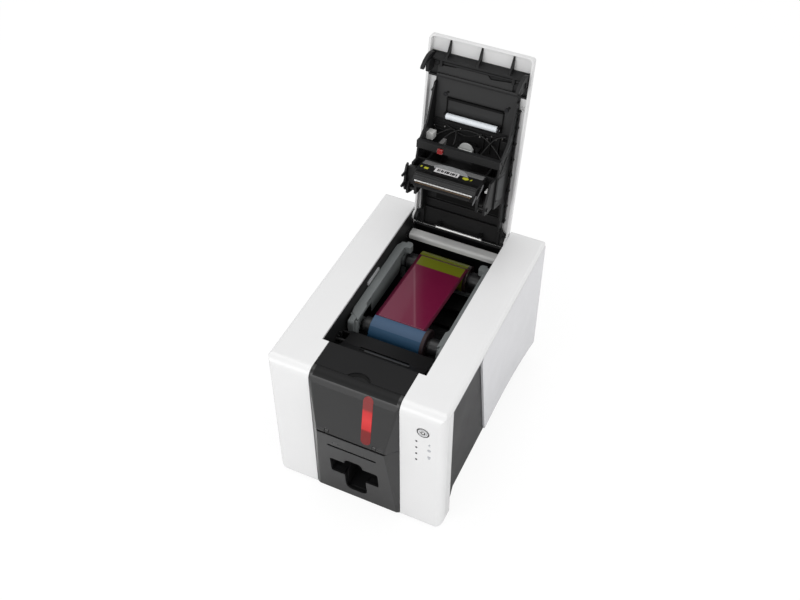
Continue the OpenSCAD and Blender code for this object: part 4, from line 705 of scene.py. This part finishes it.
# ---- Lid frame and its mouldings ----
# A black ribbed moulding fills the shell, held by small blackened screws. It carries the head's
# bracket, the fan, the white roller and the latch shaft, and it is braced along both walls.
frame_black = moulded("frame_black", (0.0105, 0.0105, 0.011), 0.5, 900, 0.05, 0.1, 0.0005, 2.2,
                      0.28)
dress(frame_black, "lid_frame", "head_bracket", "fan_housing", "latch_hooks", "hinge_pins")
screw_black = ground("screw_black", (0.03, 0.03, 0.032), (900, 900, 900), 0.4)
dress(screw_black, "lid_screws")
# This grey is a lighter copy of the frame's black: painted light on the lid's inner walls and
# painted highlight lines on the head's fascia.
painted_light_grey = moulded("painted_light_grey", (0.036, 0.038, 0.039), 0.5, 900, 0.05, 0.1, 0.0005, 1.8, 0.35)

shape = bmesh.new()
plate(shape, [(-47.5, 186.2), (-47.5, 195.3), (-26, 196.3), (-20, 199.4), (8.3, 199.4), (14, 193),
              (39.5, 195.6), (39.5, 186.2)], 4.55, 6.2, "z")
block(shape, (-47.5, 183.9, 4.5), (46.5, 186.3, 8.15))
# This is a lighter copy of the frame's black: painted sheen on the tip step and the floor skin.
frame_sheen = moulded("frame_sheen", (0.026, 0.026, 0.0265), 0.5, 900, 0.04, 0.06, 0.0006, 1.8,
                      0.35)
fix("tip_step", shape, frame_sheen, "lid", LID, 0.35)
shape = bmesh.new()
block(shape, (-46.6, 160.2, 4.5), (46.6, 181.8, 4.9))
block(shape, (-46.6, 133.0, 4.5), (-33.4, 160.2, 4.9))
block(shape, (33.4, 133.0, 4.5), (46.6, 160.2, 4.9))
block(shape, (-32.6, 141.0, 4.5), (32.6, 157.8, 4.8))
fix("floor_skin", shape, frame_sheen, "lid", LID, 0.1)
# Two black discs on the floor are painted shade where the floor has holes.
shape = bmesh.new()
rod(shape, (-33.0, 165.6, 4.6), (-33.0, 165.6, 5.0), 1.5)
rod(shape, (38.5, 165.6, 4.6), (38.5, 165.6, 5.0), 1.5)
fix("floor_holes", shape, print_and_shade_black, "lid", LID, 0)

shape = bmesh.new()
block(shape, (-33.1, 157.9, 7.9), (33.1, 160.1, 8.1))
block(shape, (-33.1, 159.95, 4.6), (33.1, 160.15, 8.1))
for x in (-33.3, 33.0):
    block(shape, (x, 134.0, 4.5), (x + 1.0, 158.2, 6.4))
block(shape, (-35, 28.7, 4.5), (44, 40.0, 4.66))
fix("recess_shadow", shape, print_and_shade_black, "lid", LID, 0.2)

shape = bmesh.new()
block(shape, (-58, -11.6, 3.0), (58, -8.8, 7.5))
for side in (-1, 1):
    flare = [(49.1, 17), (52.0, 10), (56.4, 6.4), (56.4, -8.6), (49.1, -8.6)]
    plate(shape, [(side * x, v) for x, v in flare], 4.6, 8.0, "z")
block(shape, (-58.6, -11.9, 9.02), (58.6, -9.0, 9.5))
fix("hinge_cover", shape, frame_black, "lid", LID, 0.4)

# Each hinge ear of the shell is closed by a black snap-on cap round its pin.
shape = bmesh.new()
cap_radius, bore_radius = 6.2, 3.25
half_turn = [(math.cos(math.radians(a)), math.sin(math.radians(a))) for a in range(0, 181, 10)]
bow = [(cap_radius * c, pin_depth + cap_radius * s) for c, s in half_turn]
bore_over = [(bore_radius * c, pin_depth + bore_radius * s) for c, s in reversed(half_turn)]
bore_under = [(bore_radius * c, pin_depth - bore_radius * s) for c, s in half_turn]
for side in (-1, 1):
    near, far = sorted((side * 52.6, side * 56.9))
    plate(shape, bow + bore_over, near, far, "x")
    foot = [(-cap_radius, 4.6), (cap_radius, 4.6), (cap_radius, pin_depth)]
    plate(shape, foot + bore_under + [(-cap_radius, pin_depth)], near, far, "x")
fix("hinge_ear_caps", shape, frame_black, "lid", LID, 0.2)

shape = bmesh.new()
for side in (-1, 1):
    near, far = sorted((side * 49.02, side * 49.7))
    for a, b in (((104, 24), (118, 40)), ((118, 24), (104, 40)), ((62, 24), (72, 44)),
                 ((96, 24), (100, 44)), ((136, 4), (120, 28)), ((156, 4), (142, 18))):
        run = Vector((b[0] - a[0], b[1] - a[1])).normalized() * 0.9
        plate(shape, [(a[0] - run.y, a[1] + run.x), (a[0] + run.y, a[1] - run.x),
                      (b[0] + run.y, b[1] - run.x), (b[0] - run.y, b[1] + run.x)], near, far, "x")
    near, far = sorted((side * 50.4, side * 51.7))
    plate(shape, [(22, 4.5), (167, 4.5), (167, 6.6), (150, 8.4), (40, 8.4), (22, 6.6)], near, far,
          "x")
fix("wall_braces", shape, frame_black, "lid", LID, 0.2)

# Thin lighter patches on the lid's inner walls are painted light.
shape = bmesh.new()
for side in (-1, 1):
    near, far = sorted((side * 49.02, side * 49.3))
    plate(shape, [(66, 22), (101, 22), (101, 43), (66, 43)], near, far, "x")
    plate(shape, [(121, 12), (170, 8), (160, 12.5), (134, 21), (121, 32)], near, far, "x")
    plate(shape, [(18, 6), (52, 6), (52, 17), (18, 13)], near, far, "x")
fix("wall_light_patches", shape, painted_light_grey, "lid", LID, 0.2)


# ---- Roller, connectors, fan and wiring of the lid ----
# The cleaning roller is pale silicone on a steel axle. Behind the shelf a small fan cools the head,
# and loose wires run from both to plugs on the bay's floor.
roller_white = moulded("roller_white", (0.80, 0.84, 0.88), 0.4, 1500, 0.02, 0.04, 0.0004, 1.05)
dress(roller_white, "lid_roller")
fan_pale = moulded("fan_pale", (0.62, 0.63, 0.62), 0.4, 1500, 0.02, 0.05, 0.0003, 1.1)
dress(fan_pale, "fan_rotor")
plug_plastic = moulded("plug_plastic", (0.82, 0.82, 0.80), 0.4, 1500, 0.02, 0.05, 0.0003, 1.1)

# The plugs are one row: pale at the left, then a grey one and a red one, told apart by their X.
row_start, grey_from, red_from = -60, -30, -23
plug_nodes, plug_links = plug_plastic.node_tree.nodes, plug_plastic.node_tree.links
plug_split = plug_nodes.new("ShaderNodeSeparateXYZ")
plug_links.new(plug_nodes["Texture Coordinate"].outputs["Object"], plug_split.inputs[0])
plug_span = plug_nodes.new("ShaderNodeMapRange")
plug_span.inputs["From Min"].default_value = row_start / 1000
plug_span.inputs["From Max"].default_value = 0.0
plug_links.new(plug_split.outputs["X"], plug_span.inputs["Value"])
plug_colours = plug_nodes.new("ShaderNodeValToRGB")
plug_colours.color_ramp.interpolation = "CONSTANT"
plug_colours.color_ramp.elements[0].color = (0.82, 0.82, 0.80, 1)
plug_colours.color_ramp.elements[1].position = 1 - grey_from / row_start
plug_colours.color_ramp.elements[1].color = (0.17, 0.165, 0.165, 1)
plug_colours.color_ramp.elements.new(1 - red_from / row_start).color = (0.30, 0.006, 0.008, 1)
plug_links.new(plug_span.outputs["Result"], plug_colours.inputs["Fac"])
plug_links.new(plug_colours.outputs["Color"], plug_nodes["Mix"].inputs["A"])
dress(plug_plastic, "lid_connectors")

shape = bmesh.new()
half = [(8.3 * math.cos(math.radians(a)), 111.1 + 7.2 * math.sin(math.radians(a)))
        for a in range(0, 181, 9)]
plate(shape, half, 19.0, 20.4, "z")
fix("fan_shroud", shape, fan_pale, "lid", LID, 0.3)

wire_black = moulded("wire_black", (0.008, 0.008, 0.008), 0.35, 1500, 0.02, 0.05, 0.0002, 1.5)


def wire(name, points, radius, material):
    line = bpy.data.curves.new(name, "CURVE")
    line.dimensions = "3D"
    line.bevel_depth = radius
    line.bevel_resolution = 2
    line.resolution_u = 6
    spline = line.splines.new("NURBS")
    spline.points.add(len(points) - 1)
    spline.order_u = 4
    spline.use_endpoint_u = True
    for knot, point in zip(spline.points, points):
        knot.co = (*point, 1)
    line.use_fill_caps = True
    route = bpy.data.objects.new(name + "_route", line)
    scene.collection.objects.link(route)
    depsgraph = bpy.context.evaluated_depsgraph_get()
    mesh = bpy.data.meshes.new_from_object(route.evaluated_get(depsgraph))
    bpy.data.objects.remove(route)
    mesh.name = name
    mesh.transform(LID)
    mesh.materials.clear()
    mesh.materials.append(material)
    mesh.polygons.foreach_set("use_smooth", [True] * len(mesh.polygons))
    piece = bpy.data.objects.new(name, mesh)
    scene.collection.objects.link(piece)
    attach(piece, "lid")


wire("fan_lead_a", [(-43, 113, 18), (-36, 117, 10), (-26, 124, 6.4), (-18, 124, 7),
                    (-15.5, 118, 12), (-15.5, 112, 20)], 0.7, wire_black)
wire("head_lead_a", [(-36, 105, 24), (-31, 112, 18), (-22, 124, 7), (-2, 128, 6.4), (18, 124, 6.4),
                     (34, 113, 12), (43, 104, 16)], 0.8, wire_black)
wire("head_lead_b", [(-30, 126, 6), (-18, 121, 6.4), (-8, 118, 7), (2, 121, 6.5), (12, 127, 6)],
     0.5, wire_black)
wire("head_lead_c", [(16, 106, 20), (20, 113, 16), (24, 121, 10), (30, 128, 6.4), (40, 131, 6.4)],
     0.8, wire_black)

shape = bmesh.new()
for x, v, w in ((9.8, 123.0, 6.4), (-32.3, 124.0, 6.0), (-45.0, 122.0, 6.0), (28.6, 124.0, 6.0),
                (18.7, 123.0, 6.2), (23.0, 126.5, 5.6), (-14.0, 126.0, 5.6), (36.0, 126.5, 5.6)):
    rod(shape, (x, v, w - 0.8), (x, v, w + 0.6), 0.95, 0.8, 12)
plug_tin = ground("plug_tin", (0.75, 0.72, 0.70), (900, 900, 900), 0.3)
fix("bay_screws", shape, plug_tin, "lid", LID, 0)

shape = bmesh.new()
for v in (114, 118, 122, 126, 130):
    block(shape, (-46, v, 4.5), (-33 if v < 125 else 30, v + 1.0, 5.7))
for x in (14, 22, 32, 40):
    block(shape, (x, 104, 4.5), (x + 1.2, 127, 7.0))
block(shape, (36, 116, 4.5), (43, 127, 11))
fix("bay_ribs", shape, frame_black, "lid", LID, 0.25)


# ---- Head bracket, springs and flat cable ----
# The bracket is a black moulding on the lid's frame. Two steel coil springs press the head towards
# the card, and an amber flat cable follows it from the bay.
flex_amber = moulded("flex_amber", (0.16, 0.09, 0.03), 0.35, 1500, 0.02, 0.1, 0.0002, 1.3)
dress(flex_amber, "head_cable")
spring_steel = ground("spring_steel", (0.6, 0.6, 0.6), (1500, 1500, 300), 0.3)
dress(spring_steel, "head_springs")


# ---- Print head ----
# The head is a black carrier with a finned heat sink behind it and a ceramic print line on its
# edge. Its fixing plate is a sheet part, with a paper label and plain patches of yellow paint.
head_black = moulded("head_black", (0.0095, 0.0095, 0.010), 0.4, 900, 0.04, 0.1, 0.0004, 2.4, 0.26)
shape = bmesh.new()
block(shape, (-38, 68, 53.3), (38, 100, 55))
for side in (-1, 1):
    near, far = sorted((side * 35, side * 38))
    plate(shape, [(68, 53.3), (91, 53.3), (91, 66), (80, 70), (68, 70)], near, far, "x")
    rod(shape, (side * 35, 72, 66), (side * 48.6, 72, 66), 2.0)
block(shape, (-38, 86, 54.9), (38, 100, 70))
for step in range(5):
    block(shape, (-36.5, 86.5 + 0.5 * step, 54.0 + 4.0 * step),
          (36.5, 88.5 + 0.5 * step, 56.0 + 4.0 * step))
block(shape, (-37.4, 99.9, 48.5), (37.4, 101.0, 76.0))
plate(shape, [(101.0, 70), (101.0, 76.2), (98.0, 78.4), (93.6, 80.2), (91.0, 80.4), (89.0, 78.0),
              (89.0, 70)], -36.5, 36.5, "x")
plate(shape, [(88.6, 76), (91.4, 76), (91.0, 87.6), (89.4, 87.6)], -32.5, 32.5, "x")
head_body = fix("head_body", shape, head_black, "head", LID, 0.35)
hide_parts("print_head", "head_label")

plate_silver = ground("plate_silver", (0.29, 0.29, 0.29), (700, 700, 700), 0.45, 0.6, 0.02, 0.35)
shape = bmesh.new()
block(shape, (-35.5, 101.02, 48.5), (35.5, 101.3, 56.6))
fix("fixing_plate", shape, plate_silver, "head", LID, 0.1)
arch_silver = ground("arch_silver", (0.52, 0.53, 0.54), (500, 500, 500), 0.4, 0.5, 0.02, 0.25)
shape = bmesh.new()
arch_turn = [math.radians(a) for a in range(176, 3, -8)]
arch = [(-2.5 + 19.5 * math.cos(a), 56.8 - 8.2 * math.sin(a)) for a in arch_turn]
plate(shape, [(-20, 60.0)] + arch + [(20, 60.0)], 101.32, 101.5, "y")
fix("plate_arch", shape, arch_silver, "head", LID, 0.05)

label_paper = moulded("label_paper", (0.74, 0.73, 0.74), 0.55, 1200, 0.01, 0.04, 0.0001, 1.05)
shape = bmesh.new()
plate(shape, [(-18.2, 58.6), (10.0, 58.6), (10.2, 67.0), (-17.6, 67.6)], 101.52, 101.66, "y")
fix("head_paper", shape, label_paper, "head", LID, 0)
shape = bmesh.new()
for i, wide in enumerate((1.5, 1.0, 1.7, 0.9, 1.5, 1.9, 1.0, 1.5, 1.8, 1.1, 1.5)):
    x = -15.0 + i * 2.15
    plate(shape, [(x, 60.4), (x + wide, 60.4), (x + wide, 65.4), (x, 65.4)], 101.67, 101.75, "y")
fix("paper_bars", shape, print_and_shade_black, "head", LID, 0)

paint_yellow = moulded("paint_yellow", (0.50, 0.50, 0.03), 0.5, 1500, 0.01, 0.05, 0.0001, 1.1)
shape = bmesh.new()
plate(shape, [(-30.2, 66.2), (-25.4, 66.4), (-25.2, 62.6), (-30.0, 62.4)], 101.1, 101.3, "y")
plate(shape, [(-34.8, 64.8), (-33.0, 64.9), (-32.8, 61.9), (-34.4, 61.7)], 101.1, 101.3, "y")
full_turn = [math.radians(a) for a in range(0, 360, 15)]
plate(shape, [(18.3 + 3.6 * math.cos(a), 63.6 + 2.6 * math.sin(a)) for a in full_turn], 101.1,
      101.3, "y")
plate(shape, [(23.8, 65.2), (25.6, 64.6), (25.8, 61.4), (24.4, 62.4)], 101.1, 101.3, "y")
fix("paint_patches", shape, paint_yellow, "head", LID, 0)

ceramic_brown = moulded("ceramic_brown", (0.10, 0.055, 0.02), 0.25, 1500, 0.01, 0.1, 0.0002, 1.3)
shape = bmesh.new()
block(shape, (-32.6, 91.0, 82.0), (32.6, 91.7, 83.2))
fix("print_line", shape, ceramic_brown, "head", LID, 0.2)


def repeat(name, count, start, step, size, material, body, place, soft):
    tree = bpy.data.node_groups.new(name + "_rule", "GeometryNodeTree")
    tree.interface.new_socket("Geometry", in_out="OUTPUT", socket_type="NodeSocketGeometry")
    wanted = {}
    for label, kind, value in (("Count", "NodeSocketInt", count),
                               ("Start", "NodeSocketVector", start),
                               ("Step", "NodeSocketVector", step),
                               ("Size", "NodeSocketVector", size)):
        socket = tree.interface.new_socket(label, in_out="INPUT", socket_type=kind)
        wanted[socket.identifier] = value
    entry = tree.nodes.new("NodeGroupInput")
    way_out = tree.nodes.new("NodeGroupOutput")
    line = tree.nodes.new("GeometryNodeMeshLine")
    line.mode = "OFFSET"
    each = tree.nodes.new("GeometryNodeMeshCube")
    spread = tree.nodes.new("GeometryNodeInstanceOnPoints")
    real = tree.nodes.new("GeometryNodeRealizeInstances")
    paint = tree.nodes.new("GeometryNodeSetMaterial")
    paint.inputs["Material"].default_value = material
    tree.links.new(entry.outputs["Count"], line.inputs["Count"])
    tree.links.new(entry.outputs["Start"], line.inputs["Start Location"])
    tree.links.new(entry.outputs["Step"], line.inputs["Offset"])
    tree.links.new(entry.outputs["Size"], each.inputs["Size"])
    tree.links.new(line.outputs["Mesh"], spread.inputs["Points"])
    tree.links.new(each.outputs["Mesh"], spread.inputs["Instance"])
    tree.links.new(spread.outputs["Instances"], real.inputs["Geometry"])
    tree.links.new(real.outputs["Geometry"], paint.inputs["Geometry"])
    tree.links.new(paint.outputs["Geometry"], way_out.inputs["Geometry"])
    seed = bpy.data.objects.new(name + "_seed", bpy.data.meshes.new(name + "_seed"))
    scene.collection.objects.link(seed)
    rule = seed.modifiers.new("rule", "NODES")
    rule.node_group = tree
    for key, value in wanted.items():
        rule[key] = value
    bpy.context.view_layer.update()
    depsgraph = bpy.context.evaluated_depsgraph_get()
    mesh = bpy.data.meshes.new_from_object(seed.evaluated_get(depsgraph))
    bpy.data.objects.remove(seed)
    mesh.name = name
    mesh.transform(place)
    if not mesh.materials:
        mesh.materials.append(material)
    piece = bpy.data.objects.new(name, mesh)
    scene.collection.objects.link(piece)
    rounding = piece.modifiers.new("rounding", "BEVEL")
    rounding.width = soft / 1000
    rounding.segments = 2
    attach(piece, body)


bright_steel = ground("bright_steel", (0.96, 0.95, 0.93), (500, 900, 900), 0.35, 0.35)
repeat("contact_row", 19, (-32.2, 92.6, 80.9), (3.55, 0, 0), (3.4, 1.3, 1.1), bright_steel, "head",
       LID, 0.15)
# The fascia ribs are painted lighter grey as painted highlight lines.
repeat("fascia_ribs", 3, (0, 99.4, 77.6), (0, -2.3, 1.1), (71, 0.4, 0.5), painted_light_grey, "head",
       LID, 0.15)


# ---- Levers and pins beside the head ----
# A black release lever with two finger pins stands at the left of the head. On the right a grey
# pawl and a turned steel pin hold it in its bracket.
shape = bmesh.new()
plate(shape, [(69, 62), (76, 60), (84, 66), (94, 67), (104, 68), (102, 72), (94, 75), (86, 74),
              (80, 76), (71, 72)], -49.5, -47.0, "x")
plate(shape, [(76, 60), (86, 60), (100, 64), (101, 70), (88, 71), (78, 68)], -47.0, -38.0, "x")
rod(shape, (-48.2, 94.0, 72), (-48.2, 94.0, 82.0), 1.7, 1.4)
rod(shape, (-48.2, 81.5, 73), (-48.2, 80.5, 82.0), 1.8, 1.5)
fix("release_lever", shape, head_black, "head", LID, 0.5)
pawl_grey = moulded("pawl_grey", (0.10, 0.10, 0.104), 0.4, 900, 0.03, 0.08, 0.0004, 1.6)
shape = bmesh.new()
plate(shape, [(99, 62), (100.4, 64), (95.4, 72), (92, 79.6), (90.4, 80), (92.4, 74), (95, 67)],
      38.6, 39.6, "x")
plate(shape, [(92, 76), (94, 79), (89.6, 86.4), (86.6, 88), (88.6, 82)], 37.2, 38.2, "x")
fix("head_pawl", shape, pawl_grey, "head", LID, 0.3)
shape = bmesh.new()
rod(shape, (42.5, 91.0, 55.5), (42.5, 91.0, 61.5), 1.5, 1.3)
rod(shape, (42.5, 91.0, 61.3), (42.5, 91.0, 62.0), 1.8)
fix("bracket_pin", shape, bright_steel, "lid", LID, 0.15)


# ---- Guide rod, shell boss and hook webs ----
# A bright steel rod in two lugs lies along the hinge, with a black nut on each end. A hollow boss
# is moulded on the shell, and a web stiffens each latch hook where it leaves the shaft.
rod_steel = ground("rod_steel", (0.93, 0.93, 0.92), (200, 1500, 1500), 0.45, 0.8)
shape = bmesh.new()
rod(shape, (-27.6, -3.5, 15.1), (30.0, -3.5, 15.1), 1.45)
fix("guide_rod_sleeve", shape, rod_steel, "lid", LID, 0)
boss_x, boss_v = 54.4, 168.0
ringed = [math.radians(20 * k) for k in range(18)]
shape = bmesh.new()
for a, b in zip(ringed, ringed[1:] + ringed[:1]):
    plate(shape, [(boss_x + r * math.cos(t), boss_v + r * math.sin(t))
                  for r, t in ((1.4, a), (2.5, a), (2.5, b), (1.4, b))], 2.45, 4.6, "z")
fix("shell_boss", shape, lid_white, "lid", LID, 0)
shape = bmesh.new()
for side in (-1, 1):
    near, far = sorted((side * 27.02, side * 30.6))
    rod(shape, (near, -3.5, 13), (far, -3.5, 13), 1.6)
fix("guide_rod_nuts", shape, frame_black, "lid", LID, 0.2)
shape = bmesh.new()
for side in (-1, 1):
    near, far = sorted((side * 50.6, side * 54.6))
    plate(shape, [(192.5, 9), (192.5, 24), (198, 25.3), (204.6, 25.3), (205.6, 23), (205.6, 18),
                  (204, 13.5), (200.5, 8)], near, far, "x")
fix("hook_webs", shape, frame_black, "latch", LID, 0.5)


# ---- Rear sockets ----
# The mains inlet is a black moulded socket, and the data sockets are folded steel shells. All are
# pushed into openings of the rear panel.
inlet_black = moulded("inlet_black", (0.012, 0.012, 0.012), 0.45, 1000, 0.03, 0.1, 0.0004, 1.8)
dress(inlet_black, "power_inlet")
socket_steel = ground("socket_steel", (0.55, 0.55, 0.56), (800, 200, 200), 0.3)
dress(socket_steel, "data_ports")
